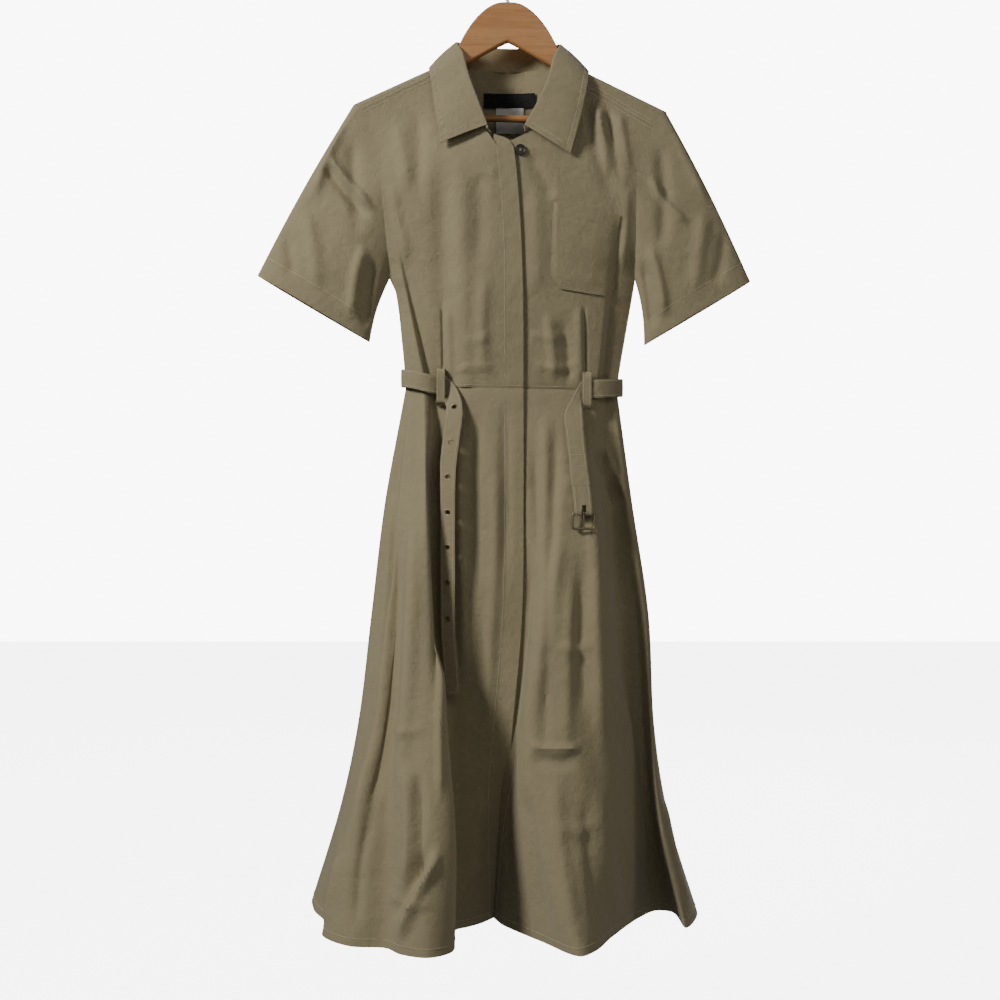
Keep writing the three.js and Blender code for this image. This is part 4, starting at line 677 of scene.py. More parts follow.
def new_object(name, verts, quads, uv, sharp=40):
    """A mesh object from points in millimetres and faces of four corners. A face whose last two corners are
    alike is a triangle. Faces are turned outward by the sign of the enclosed volume."""
    v = np.asarray(verts, float) * MM
    q = np.asarray(quads, np.int64)
    a, b, c, d = (v[q[:, k]] for k in range(4))
    centre = v.mean(0)
    volume = np.einsum("ij,ij->", a - centre, np.cross(b - centre, c - centre))
    volume += np.einsum("ij,ij->", a - centre, np.cross(c - centre, d - centre))
    if volume < 0:
        q = q[:, [0, 3, 2, 1]]
    single = (q[:, 2] == q[:, 3]) | (q[:, 0] == q[:, 1]) | (q[:, 1] == q[:, 2]) | (q[:, 3] == q[:, 0])
    keep = np.ones(q.shape, bool)
    for k in range(4):
        keep[:, k] = (q[:, k] != q[:, (k + 1) % 4]) | ~single
    loops = q[keep]
    totals = keep.sum(1)
    starts = np.concatenate([[0], np.cumsum(totals)[:-1]])
    mesh = bpy.data.meshes.new(name)
    mesh.vertices.add(len(v))
    mesh.vertices.foreach_set("co", v.astype(np.float32).ravel())
    mesh.loops.add(len(loops))
    mesh.loops.foreach_set("vertex_index", loops.astype(np.int32))
    mesh.polygons.add(len(starts))
    mesh.polygons.foreach_set("loop_start", starts.astype(np.int32))
    mesh.update(calc_edges=True)
    if uv is not None:
        layer = mesh.uv_layers.new(name="UVMap")
        layer.data.foreach_set("uv", np.asarray(uv, np.float32)[loops].ravel())
    mesh.polygons.foreach_set("use_smooth", np.ones(len(starts), bool))
    mesh.set_sharp_from_angle(angle=math.radians(sharp))
    made = bpy.data.objects.new(name, mesh)
    bpy.context.scene.collection.objects.link(made)
    return made


def grid_quads(rows, cols, closed, first=0):
    """The faces between the points of a grid."""
    i, j = np.meshgrid(np.arange(rows - 1), np.arange(cols if closed else cols - 1), indexing="ij")
    at = lambda r, c: first + r * cols + c % cols
    return np.stack([at(i, j), at(i, j + 1), at(i + 1, j + 1), at(i + 1, j)], axis=-1).reshape(-1, 4)


def wall(name, outer, thickness, closed=False, inner=None):
    """Cloth as a closed wall: an outer grid, the same grid moved in by the thickness, and a rim. A positive
    thickness is taken along the way that the grid faces."""
    if inner is None:
        inner = outer + facing(outer, closed) * thickness
    rows, cols = outer.shape[:2]
    half = rows * cols
    quads = [grid_quads(rows, cols, closed), grid_quads(rows, cols, closed, half)[:, ::-1]]
    j = np.arange(cols if closed else cols - 1)
    for row, turned in ((0, False), (rows - 1, True)):
        a, b = row * cols + j, row * cols + (j + 1) % cols
        rim = np.stack([b, a, a + half, b + half], axis=-1)
        quads.append(rim[:, ::-1] if turned else rim)
    if not closed:
        i = np.arange(rows - 1)
        for col, turned in ((0, True), (cols - 1, False)):
            a, b = i * cols + col, (i + 1) * cols + col
            rim = np.stack([b, a, a + half, b + half], axis=-1)
            quads.append(rim[:, ::-1] if turned else rim)
    uv = np.stack([lengths(outer, 1), lengths(outer, 0)], axis=-1).reshape(-1, 2)
    verts = np.concatenate([outer.reshape(-1, 3), inner.reshape(-1, 3)])
    return new_object(name, verts, np.concatenate(quads), np.concatenate([uv, uv]))


def level_width(y_at, left, right, z):
    """The length of the cloth along a level line between two places, in metres."""
    x = np.linspace(left, right, 200)
    return float(np.hypot(np.diff(x), np.diff(y_at(x, z))).sum()) * MM


def flat_size(outer, closed=False):
    """The cut of a panel, measured on its own grid: the widest row of its lower half, where rows run straight
    across, the longest column and the area, in metres."""
    ring = np.concatenate([outer, outer[:, :1]], axis=1) if closed else outer
    lower = len(ring) // 2
    width = float(lengths(ring, 1)[lower:, -1].max())
    length = float(lengths(ring, 0)[-1].max())
    across = np.cross(ring[1:, 1:] - ring[:-1, :-1], ring[1:, :-1] - ring[:-1, 1:])
    area = float(np.linalg.norm(across, axis=-1).sum() / 2) * MM * MM
    return width, length, min(area, width * length)


def finish_cloth(made, outer, material, nodes, width=None):
    """Gives a cloth piece its material, body, slot and replaced nodes, and declares it as a sheet."""
    made.data.materials.append(material)
    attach(made, "dress")
    if nodes:
        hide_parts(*nodes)
    measured, length, area = flat_size(outer)
    width = width or measured
    area = min(max(area, 0.31 * width * length), width * length)
    print(f"cut {made.name}: {width:.3f} x {length:.3f} m, {area:.4f} m2")
    return made


def finish_hard(made, material, body, nodes=()):
    """Gives a hard piece or trim its material, body, slot and replaced nodes."""
    made.data.materials.append(material)
    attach(made, body)
    if nodes:
        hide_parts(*nodes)
    return made


# Paths on grids and stitches along them


def away_from_edge(points, axis, distance, from_end=False):
    """Places at a distance from a grid's edge, one on each line that runs away from it. Axis 1 goes across
    from the first column and axis 0 down from the first row. The places lie on straight steps between points."""
    p = np.moveaxis(points, axis, 0)
    p = p[::-1] if from_end else p
    run = np.linalg.norm(np.diff(p, axis=0), axis=-1)
    far = np.concatenate([np.zeros((1, p.shape[1])), np.cumsum(run, axis=0)])
    i = np.clip((far < distance).sum(0) - 1, 0, len(p) - 2)
    j = np.arange(p.shape[1])
    t = np.clip((distance - far[i, j]) / np.maximum(far[i + 1, j] - far[i, j], 1e-9), 0, 1)
    return p[i, j] + t[:, None] * (p[i + 1, j] - p[i, j])


def lifted(outer, side, by=0.12):
    """A grid moved outward by the thread's height, where side is the sign of its wall's thickness."""
    return outer - facing(outer) * side * by


def stitch_ends(path, length, gap):
    """The ends of the stitches along a path, evenly spaced by length and gap."""
    p = np.asarray(path, float)
    far = np.concatenate([[0], np.cumsum(np.linalg.norm(np.diff(p, axis=0), axis=-1))])
    start = np.arange(gap, max(far[-1] - length, gap + 0.01), length + gap)
    at = lambda s: np.stack([np.interp(s, far, p[:, k]) for k in range(3)], axis=-1)
    return at(start), at(start + length)


STITCH_SHARES = np.array([0.0, 0.18, 0.82, 1.0])
STITCH_ROUND = np.array([0.35, 1.0, 1.0, 0.35])
STITCH_SIDES = 6


def stitches(name, paths, settings, material):
    """All stitches along some paths as one mesh of small closed rods, thinner at their ends."""
    length, gap = settings.stitch_length / MM, settings.stitch_gap / MM
    radius = settings.thread_radius / MM
    ends = [stitch_ends(path, length, gap) for path in paths]
    a = np.concatenate([e[0] for e in ends])
    b = np.concatenate([e[1] for e in ends])
    along = b - a
    along /= np.maximum(np.linalg.norm(along, axis=-1, keepdims=True), 1e-9)
    upright = np.abs(along[:, 1:2]) > 0.9
    side = np.cross(along, np.where(upright, [[1.0, 0, 0]], [[0, 1.0, 0]]))
    side /= np.linalg.norm(side, axis=-1, keepdims=True)
    other = np.cross(along, side)
    turn = np.arange(STITCH_SIDES) * 2 * math.pi / STITCH_SIDES
    cosine, sine = (f(turn)[None, None, :, None] for f in (np.cos, np.sin))
    spoke = cosine * side[:, None, None] + sine * other[:, None, None]
    middle = a[:, None, None] + STITCH_SHARES[None, :, None, None] * (b - a)[:, None, None]
    verts = (middle + radius * STITCH_ROUND[None, :, None, None] * spoke).reshape(-1, 3)
    each = len(STITCH_SHARES) * STITCH_SIDES
    body = grid_quads(len(STITCH_SHARES), STITCH_SIDES, True)
    cap = np.array([[3, 2, 1, 0], [5, 4, 3, 0]])
    one = np.concatenate([body, cap, cap[:, ::-1] + each - STITCH_SIDES])
    quads = (one[None] + np.arange(len(a))[:, None, None] * each).reshape(-1, 4)
    return finish_hard(new_object(name, verts, quads, None, 80), material, "dress")


# Round pieces


def tube(name, route, radius, sides=16, closed=False, ends=True):
    """A round wire along a route of points. Its frame is carried along by taking away, at each step, the part
    of the last frame that lies along the route."""
    p = np.asarray(route, float)
    along = np.roll(p, -1, axis=0) - np.roll(p, 1, axis=0) if closed else np.gradient(p, axis=0)
    along /= np.linalg.norm(along, axis=-1, keepdims=True)
    flat = np.linalg.svd(p - p.mean(0))[2][2]
    side = np.cross(along, flat)
    side /= np.maximum(np.linalg.norm(side, axis=-1, keepdims=True), 1e-9)
    other = np.cross(along, side)
    turn = np.arange(sides) * 2 * math.pi / sides
    r = np.broadcast_to(np.asarray(radius, float), (len(p),))[:, None, None]
    rings = p[:, None] + r * (np.cos(turn)[:, None] * side[:, None] + np.sin(turn)[:, None] * other[:, None])
    if closed:
        rings = np.concatenate([rings, rings[:1]])
    uv = np.stack([lengths(rings, 1), lengths(rings, 0)], axis=-1).reshape(-1, 2)
    verts = rings.reshape(-1, 3)
    quads = grid_quads(rings.shape[0], sides, True)
    if closed:
        last = len(rings) - 1
        quads = np.where(quads >= last * sides, quads - last * sides, quads)
        verts, uv = verts[: last * sides], uv[: last * sides]
    elif ends:
        first, final = len(verts), len(verts) + 1
        j = np.arange(sides)
        k = (j + 1) % sides
        tail = (len(p) - 1) * sides
        fans = [
            np.stack([np.full(sides, first), k, j, j], -1),
            np.stack([np.full(sides, final), j + tail, k + tail, k + tail], -1),
        ]
        quads = np.concatenate([quads, *fans])
        verts = np.concatenate([verts, p[:1], p[-1:]])
        uv = np.concatenate([uv, np.zeros((2, 2))])
    return new_object(name, verts, quads, uv, 50)


def turned(profile, sides):
    """A closed lathe about Y: a profile of radius and height, as points of rings by sides, and its faces. A
    profile that closes on itself gives a ring."""
    p = np.asarray(profile, float)
    turn = np.arange(sides) * 2 * math.pi / sides
    x = p[:, :1] * np.cos(turn)
    z = p[:, :1] * np.sin(turn)
    y = np.broadcast_to(p[:, 1:], x.shape)
    return np.stack([x, y, z], -1).reshape(-1, 3), grid_quads(len(p), sides, True)


def turn_to(points, out):
    """Points turned so that +Y comes to lie along a unit direction, by the shortest way."""
    y = np.array([0.0, 1.0, 0.0])
    v, c = np.cross(y, out), float(y @ out)
    k = np.array([[0, -v[2], v[1]], [v[2], 0, -v[0]], [-v[1], v[0], 0]])
    return points @ (np.eye(3) + k + k @ k / (1 + c)).T


# Shader maths


class Wire:
    """A socket of a shader with arithmetic, each step a Math node."""

    def __init__(self, tree, socket):
        self.tree = tree
        self.socket = socket

    def node(self, kind, settings=None, **inputs):
        """A node of a kind with its settings, and inputs by name from wires or constants."""
        return add_node(self.tree, kind, settings, **inputs)

    def math(self, operation, *values):
        """A Math node of an operation on wires or constants."""
        made = self.tree.nodes.new("ShaderNodeMath")
        made.operation = operation
        for k, value in enumerate(values):
            feed(self.tree, made.inputs[k], value)
        return Wire(self.tree, made.outputs[0])

    def __add__(self, other):
        return self.math("ADD", self, other)

    def __sub__(self, other):
        return self.math("SUBTRACT", self, other)

    def __mul__(self, other):
        return self.math("MULTIPLY", self, other)

    def __truediv__(self, other):
        return self.math("DIVIDE", self, other)

    def __rsub__(self, other):
        return self.math("SUBTRACT", other, self)

    __radd__ = __add__
    __rmul__ = __mul__

    def sine(self):
        """The sine of the wire, in radians."""
        return self.math("SINE", self)

    def power(self, other):
        """The wire raised to a power."""
        return self.math("POWER", self, other)


def feed(tree, socket, value):
    """A wire linked to a socket, or a constant set on it."""
    if isinstance(value, Wire):
        tree.links.new(value.socket, socket)
    else:
        socket.default_value = value


def add_node(tree, kind, settings=None, **inputs):
    """A node whose inputs are named with underscores in place of spaces."""
    made = tree.nodes.new(kind)
    for key, value in (settings or {}).items():
        setattr(made, key, value)
    for key, value in inputs.items():
        feed(tree, made.inputs[key.replace("_", " ")], value)
    return made


def new_material(name):
    """A material with one Principled shader. Returns it, its tree and the shader."""
    made = bpy.data.materials.new(name)
    made.use_nodes = True
    tree = made.node_tree
    return made, tree, tree.nodes["Principled BSDF"]


def coordinates(tree, which):
    """A wire of the piece's own coordinates, by the name of their output."""
    return Wire(tree, tree.nodes.new("ShaderNodeTexCoord").outputs[which])


def noise(tree, vector, scale, detail=3, roughness=0.5):
    """A wire of soft noise between 0 and 1, whose features are about one metre over the scale wide."""
    made = add_node(tree, "ShaderNodeTexNoise", Vector=vector, Scale=scale, Detail=detail, Roughness=roughness)
    return Wire(tree, made.outputs["Fac"])


def mixed(tree, factor, first, second):
    """A colour between two colours."""
    made = tree.nodes.new("ShaderNodeMix")
    made.data_type = "RGBA"
    feed(tree, made.inputs[0], factor)
    feed(tree, made.inputs[6], (*first, 1) if isinstance(first, tuple) else first)
    feed(tree, made.inputs[7], (*second, 1) if isinstance(second, tuple) else second)
    return Wire(tree, made.outputs[2])


def bumped(tree, height, distance, strength, normal=None):
    """A normal bent by a height between 0 and 1 times a distance in metres."""
    inputs = {"Height": height, "Distance": distance, "Strength": strength}
    if normal is not None:
        inputs["Normal"] = normal
    return Wire(tree, add_node(tree, "ShaderNodeBump", None, **inputs).outputs["Normal"])


def cloth_material(name, dark, light, settings, rough=0.86, sheen=0.25):
    """Plain-woven cloth: a weave of crossed sine waves in the piece's own UV, which is in metres, soft
    crumples and slubs from noise in object space, and a colour that drifts a little."""
    made, tree, shader = new_material(name)
    split = add_node(tree, "ShaderNodeSeparateXYZ", Vector=coordinates(tree, "UV"))
    pitch = 2 * math.pi / settings.weave_pitch
    weave = (Wire(tree, split.outputs[0]) * pitch).sine() * (Wire(tree, split.outputs[1]) * pitch).sine()
    place = coordinates(tree, "Object")
    slub = noise(tree, place, 900, 2)
    soft = noise(tree, place, 28, 5, 0.55)
    small = noise(tree, place, 95, 4, 0.6)
    drift = noise(tree, place, 7, 3)
    factor = (drift * 0.5 + slub * 0.5).power(1.2)
    feed(tree, shader.inputs["Base Color"], mixed(tree, factor, dark, light))
    feed(tree, shader.inputs["Roughness"], rough)
    feed(tree, shader.inputs["Specular IOR Level"], 0.25)
    feed(tree, shader.inputs["Sheen Weight"], sheen)
    feed(tree, shader.inputs["Sheen Roughness"], 0.5)
    normal = bumped(tree, soft + small * 0.35, 0.004 * settings.crumple, 0.8)
    normal = bumped(tree, weave * 0.5 + slub, 0.00018, 0.7, normal)
    feed(tree, shader.inputs["Normal"], normal)
    return made


def wood_material(name):
    """Varnished wood with long grain along X: stretched noise in object space bends the rings of the grain."""
    made, tree, shader = new_material(name)
    place = coordinates(tree, "Object")
    stretched = add_node(tree, "ShaderNodeMapping", Vector=place, Scale=(3.0, 40.0, 60.0))
    grain = noise(tree, Wire(tree, stretched.outputs[0]), 2.2, 5, 0.6)
    pores = add_node(tree, "ShaderNodeMapping", Vector=place, Scale=(30.0, 500.0, 700.0))
    pore = noise(tree, Wire(tree, pores.outputs[0]), 1.5, 2)
    rings = (grain * 26).sine() * 0.5 + 0.5
    colour = mixed(tree, rings * 0.35 + grain * 0.5, (0.40, 0.175, 0.055), (0.60, 0.31, 0.125))
    colour = mixed(tree, pore.power(3.0) * 0.8, colour, (0.22, 0.09, 0.03))
    feed(tree, shader.inputs["Base Color"], colour)
    feed(tree, shader.inputs["Roughness"], grain * 0.12 + 0.36)
    feed(tree, shader.inputs["Coat Weight"], 0.25)
    feed(tree, shader.inputs["Coat Roughness"], 0.25)
    feed(tree, shader.inputs["Normal"], bumped(tree, pore, 0.0002, 0.3))
    return made


def metal_material(name, dark, light, rough):
    """Bare metal with stains between two colours, rougher where it is lighter, and a fine grain."""
    made, tree, shader = new_material(name)
    place = coordinates(tree, "Object")
    stain = noise(tree, place, 160, 4)
    feed(tree, shader.inputs["Base Color"], mixed(tree, stain, dark, light))
    feed(tree, shader.inputs["Metallic"], 1.0)
    feed(tree, shader.inputs["Roughness"], stain * 0.2 + rough)
    feed(tree, shader.inputs["Normal"], bumped(tree, noise(tree, place, 900, 2), 0.0001, 0.25))
    return made


def plain_material(name, dark, light, rough, coat=0.0, glow=0.0):
    """A smooth finish with faint flecks between two colours, and a white glow where one is given."""
    made, tree, shader = new_material(name)
    place = coordinates(tree, "Object")
    fleck = noise(tree, place, 300, 3)
    feed(tree, shader.inputs["Base Color"], mixed(tree, fleck, dark, light))
    feed(tree, shader.inputs["Roughness"], rough)
    feed(tree, shader.inputs["Coat Weight"], coat)
    feed(tree, shader.inputs["Emission Color"], (1, 1, 1, 1))
    feed(tree, shader.inputs["Emission Strength"], glow)
    feed(tree, shader.inputs["Normal"], bumped(tree, fleck, 0.0001, 0.3))
    return made


COTTON_DARK = (0.262, 0.228, 0.136)
COTTON_LIGHT = (0.352, 0.306, 0.190)
MATERIALS = {
    "cotton": lambda s: cloth_material("khaki_cotton", COTTON_DARK, COTTON_LIGHT, s),
    "thread": lambda s: plain_material("thread", (0.46, 0.41, 0.28), (0.58, 0.53, 0.38), 0.7),
    "label_black": lambda s: cloth_material("black_label", (0.004, 0.004, 0.004), (0.010, 0.010, 0.011), s, 0.7, 0.1),
    "label_white": lambda s: cloth_material("white_label", (0.62, 0.62, 0.61), (0.74, 0.74, 0.73), s, 0.75, 0.1),
    "wood": lambda s: wood_material("varnished_wood"),
    "bronze": lambda s: metal_material("dull_bronze", (0.20, 0.165, 0.10), (0.34, 0.29, 0.19), 0.34),
    "steel": lambda s: metal_material("hook_steel", (0.55, 0.56, 0.58), (0.68, 0.69, 0.71), 0.22),
    "button": lambda s: plain_material("dark_button", (0.012, 0.009, 0.007), (0.028, 0.020, 0.015), 0.32, 0.3),
    "button_thread": lambda s: plain_material("button_thread", (0.35, 0.31, 0.22), (0.45, 0.41, 0.30), 0.7),
    "floor": lambda s: plain_material("pale_floor", (0.82, 0.82, 0.82), (0.84, 0.84, 0.84), 0.9, glow=6.0),
}


def material(name, settings):
    """A named material, made when it is first asked for."""
    key = f"made_{name}"
    if key not in _made:
        _made[key] = MATERIALS[name](settings)
    return _made[key]


_made = {}


# Pieces. Grids are dense, and the cut of each cloth piece is printed.


BODICE_CUTS = 11
BODICE_ROWS = 98
REAR_CUTS = 6
REAR_ROW_CUTS = 6
WIDEST_Z = -232


def build_bodice(settings):
    """Both fronts, the back over the shoulders' ridge, and the band inside the placket."""
    cotton = material("cotton", settings)
    thick = settings.cloth / MM
    right = front_grid("right", RIGHT_FRONT, right_front_y, BODICE_CUTS, BODICE_ROWS)
    left = front_grid("left", LEFT_FRONT, front_y, BODICE_CUTS, BODICE_ROWS)
    rear = back_grid(REAR_CUTS, REAR_ROW_CUTS)
    band = fly_grid(10, 120)
    _grids.update(right=right, left=left, back=rear, fly=band)
    finish_cloth(wall("right_front_bodice", right, thick), right, cotton, ["front_right_bodice"],
                 level_width(right_front_y, -186, 8, WIDEST_Z))
    finish_cloth(wall("left_front_bodice", left, -thick), left, cotton, ["front_left_bodice"],
                 level_width(front_y, -16, 186, WIDEST_Z))
    finish_cloth(wall("back_bodice_cloth", rear, thick), rear, cotton, ["back_bodice"],
                 level_width(back_y, -200, 200, WIDEST_Z))
    finish_cloth(wall("buttonhole_band", band, thick), band, cotton, ["fly_band_bodice"])


_grids = {}

SKIRT_CUTS = 12
SKIRT_ROWS = 150


def build_skirt(settings):
    """The three panels of the skirt."""
    cotton = material("cotton", settings)
    thick = settings.cloth / MM
    names = {"right front": "skirt_front_right", "back": "skirt_back", "left front": "skirt_front_left"}
    for name, outer in skirt_panels(SKIRT_CUTS, SKIRT_ROWS).items():
        _grids["skirt " + name] = outer
        made = wall(names[name] + "_cloth", outer, thick)
        finish_cloth(made, outer, cotton, [names[name]])


SLEEVES = {
    "right": {"hem": ((-333, -422), (-184, -510)), "bulge": 4, "node": "sleeve_right"},
    "left": {"hem": ((322, -430), (181, -514)), "bulge": 4, "node": "sleeve_left"},
}
SLEEVE_GAP = -1.4
SLEEVE_ROWS = 84
SLEEVE_CUTS = 12
SLEEVE_HEM_DEPTH = 24
SLEEVE_CREASES = {
    "right": [
        {"path": [(-214, -196), (-238, -262), (-262, -330)], "wide": 8, "high": 2.0},
        {"path": [(-243, -256), (-210, -300), (-172, -342)], "wide": 5, "high": 2.4},
        {"path": [(-250, -268), (-216, -314), (-178, -356)], "wide": 6, "high": -2.0},
        {"path": [(-206, -236), (-204, -300), (-196, -380)], "wide": 9, "high": -1.6},
        {"path": [(-186, -380), (-200, -430), (-206, -486)], "wide": 8, "high": 2.2},
        {"path": [(-176, -400), (-184, -450), (-190, -498)], "wide": 6, "high": -2.0},
        {"path": [(-270, -330), (-256, -390), (-250, -450)], "wide": 10, "high": 1.6},
        {"path": [(-296, -360), (-286, -400), (-284, -430)], "wide": 8, "high": -1.2},
    ],
    "left": [
        {"path": [(216, -206), (244, -270), (266, -330)], "wide": 9, "high": 1.8},
        {"path": [(200, -240), (206, -320), (200, -400)], "wide": 9, "high": -1.8},
        {"path": [(186, -290), (208, -330), (240, -360)], "wide": 6, "high": 2.0},
        {"path": [(184, -380), (198, -430), (206, -486)], "wide": 7, "high": 2.4},
        {"path": [(178, -400), (186, -450), (192, -500)], "wide": 6, "high": -2.0},
        {"path": [(262, -330), (252, -390), (244, -456)], "wide": 10, "high": 1.6},
        {"path": [(286, -360), (280, -410), (270, -440)], "wide": 8, "high": -1.4},
    ],
}


def sleeve_grid(side, rows, cuts):
    """A flat tube from the armhole to the hem. Its ring starts at the top fold, runs down the front to the
    underarm and back up the back, with one more column at the end that closes it."""
    spec = SLEEVES[side]
    arm = np.array(ARMHOLES[side], float)
    last = len(arm) - 1
    outward = -1 if side == "right" else 1
    count = last * cuts
    place = np.arange(count + 1) / cuts
    line = curve(arm, cuts)
    tangent = np.gradient(line, axis=0)
    tangent /= np.linalg.norm(tangent, axis=-1, keepdims=True)
    away = np.stack([tangent[:, 1], -tangent[:, 0]], -1) * -outward
    line = line + away * SLEEVE_GAP
    eased = 0.5 - 0.5 * np.cos(math.pi * place / last)
    swing = np.sin(math.pi * place / last)
    (top, foot) = (np.array(p, float) for p in spec["hem"])
    hem = top + (foot - top) * eased[:, None]
    v = np.linspace(0, 1, rows + 1)[:, None]
    swell = spec["bulge"] * np.sin(math.pi * v)
    halves = []
    for sign in (-1, 1):
        depth = body_depth(sign < 0, line[:, 0], line[:, 1])
        depth = np.where((place == 0) | (place == last), 0, depth)
        x = lerp(line[:, 0], hem[:, 0], v) + outward * swell
        z = lerp(line[:, 1], hem[:, 1], v)
        y = lerp(depth, SLEEVE_HEM_DEPTH * swing**0.8, v) + swell * 0.8 * swing
        inside = smooth(swing * 3) * smooth(v * 6)
        y = y + inside * creased(SLEEVE_CREASES[side], x, z) * (1 if sign < 0 else -0.8)
        halves.append(grid(x, sign * np.maximum(y, 0.0), z))
    return np.concatenate([halves[0], halves[1][:, -2::-1]], axis=1)


def build_sleeves(settings):
    """Both sleeves."""
    cotton = material("cotton", settings)
    thick = settings.cloth / MM
    for side, sign in (("right", -1), ("left", 1)):
        outer = sleeve_grid(side, SLEEVE_ROWS, SLEEVE_CUTS)
        _grids["sleeve " + side] = outer
        made = wall(f"{side}_sleeve_cloth", outer, sign * thick)
        finish_cloth(made, outer, cotton, [SLEEVES[side]["node"]])


# Collar sections from the right front end round the neck to the left front end: the neck seam, the roll at
# the top and the outer edge
COLLAR = [
    ((-22, -37, -240), (-26, -41, -233), (-89, -38, -254)),
    ((-43, -34, -212), (-39, -38, -198), (-93, -35, -224)),
    ((-63, -27, -184), (-51, -30, -164), (-98, -28, -194)),
    ((-83, -14, -149), (-59, -15, -130), (-103, -19, -160)),
    ((-84.8, 0, -137.5), (-67, 2, -111), (-105, -1, -145.5)),
    ((-70, 18, -141.5), (-56, 24, -107.5), (-96, 25, -155)),
    ((-36, 29, -142), (-31, 37, -107), (-48, 45, -163)),
    ((0, 32, -142), (0, 41, -107), (0, 49, -165)),
    ((36, 29, -142), (31, 37, -108), (48, 45, -165)),
    ((70, 18, -143.5), (57, 24, -110), (98, 25, -160)),
    ((84.5, 0, -140.3), (68, 2, -114), (107, -1, -149.5)),
    ((81.5, -14, -155), (60, -15, -134), (105, -20, -167)),
    ((63, -26, -190), (51, -29, -170), (97, -30, -208)),
    ((43, -32, -213), (36, -34, -203), (88, -36, -243)),
    ((21, -33, -239), (20, -36, -232), (81, -38, -268)),
]
ROLL_RADIUS = 2.6
COLLAR_PUCKER = 0.35


def collar_grid(cuts):
    """Sections up the collar's inner side, round the roll and down to its outer edge. The leaf bows a little
    and puckers in short waves beside its topstitching."""
    rows = curve(np.array(COLLAR, float).transpose(1, 0, 2), cuts)
    seam, roll, edge = rows[:, None, :] if rows.ndim == 2 else rows
    unit = lambda a: a / np.linalg.norm(a, axis=-1, keepdims=True)
    up = unit(roll - (seam + edge) / 2)
    inward = seam - edge
    inward = unit(inward - up * (inward * up).sum(-1, keepdims=True))
    centre = roll - up * ROLL_RADIUS
    inner, outer = centre + inward * ROLL_RADIUS, centre - inward * ROLL_RADIUS
    a = np.radians(np.linspace(0, 180, 13))
    share = np.linspace(0, 1, 14)[:-1]
    rise = seam[:, None] + share[:, None] * (inner - seam)[:, None]
    over = centre[:, None] + ROLL_RADIUS * (np.cos(a)[:, None] * inward[:, None] + np.sin(a)[:, None] * up[:, None])
    share = np.linspace(0, 1, 43)[1:]
    fall = outer[:, None] + share[:, None] * (edge - outer)[:, None]
    out = unit(np.cross(edge - outer, np.gradient(edge, axis=0)))
    out = out * np.sign((out * -inward).sum(-1, keepdims=True))
    leaf = np.linalg.norm(edge - outer, axis=-1)[:, None]
    to_edge = (1 - share) * leaf
    run = np.concatenate([[0], np.cumsum(np.linalg.norm(np.diff(edge, axis=0), axis=-1))])[:, None]
    bow = 1.6 * np.sin(math.pi * share)
    pucker = COLLAR_PUCKER * np.sin(run * 0.72 + np.sin(run * 0.19) * 2) * np.exp(-(((to_edge - 7) / 3.5) ** 2))
    groove = -0.35 * np.exp(-(((to_edge - 8) / 1.0) ** 2))
    fall = fall + out[:, None] * (bow + pucker + groove)[..., None]
    return np.concatenate([rise, over, fall], axis=1)


def build_collar(settings):
    """The collar with its stand in one piece."""
    outer = collar_grid(26)
    _grids["collar"] = outer
    made = wall("collar_cloth", outer, -1.4)
    cotton = material("cotton", settings)
    finish_cloth(made, outer, cotton, ["collar"])


POCKET = [
    ((58.5, -331), (54.5, -427)),
    ((67, -332), (67.5, -444)),
    ((102, -338.5), (97, -448.5)),
    ((147, -347), (127, -452)),
]


def build_pocket(settings):
    """The chest pocket, a little fuller in its middle than at its sewn edges."""
    tops = np.array(POCKET, float)
    k = np.linspace(0, 3, 61)
    pick = lambda row, axis: np.interp(k, np.arange(4), tops[:, row, axis])
    v = np.linspace(0, 1, 81)[:, None]
    x = lerp(pick(0, 0), pick(1, 0), v)
    z = lerp(pick(0, 1), pick(1, 1), v)
    across = np.minimum(k, 3 - k) / 3
    full = 1.3 + 1.6 * smooth(across * 4) * smooth((1 - v) * 5) - 0.4 * np.exp(-((((v - 0.16) * 105) / 1.2) ** 2))
    outer = grid(x, front_y(x, z) - full, z)
    _grids["pocket"] = outer
    made = wall("pocket_cloth", outer, settings.cloth / MM)
    finish_cloth(made, outer, material("cotton", settings), ["chest_pocket"])


LABELS = {
    "neck_label": {"x": (-32, 36), "z": (-173, -192), "off": 3, "cloth": "label_black"},
    "care_label": {"x": (-16, 21), "z": (-187, -226), "off": 2, "cloth": "label_white"},
}


def build_labels(settings):
    """The neck label and the care label, both bare, inside the back of the neck."""
    for name, spec in LABELS.items():
        u = np.linspace(0, 1, 33)
        v = np.linspace(0, 1, 25)[:, None]
        x = lerp(*spec["x"], u) + 0 * v
        z = lerp(*spec["z"], v) + 0.5 * np.sin(u * 3)
        curl = 0.8 * v**2 * np.sin(u * 5 + 1)
        outer = grid(x, back_y(x, z) - CLOTH - 0.5 - spec["off"] - curl, z)
        made = wall(f"{name}_cloth", outer, -0.6)
        finish_cloth(made, outer, material(spec["cloth"], settings), [name])


# Belt

BELT_ROUND = [
    (-80, -21.5, -570), (-92, -24, -569), (-104, -28, -567), (-114, -27.5, -564.5), (-127, -20.5, -561),
    (-138, -10, -559), (-142.5, 2, -558), (-137, 15, -558), (-120, 23, -559), (-90, 29, -560),
    (-50, 33, -561), (0, 35, -563), (50, 33, -565), (92, 29, -567), (126, 23, -569), (147, 13, -570.5),
    (153, 0, -571), (147, -13, -572), (134, -23, -573), (121, -28.5, -574), (108, -29, -574.5),
    (96, -29, -575),
]
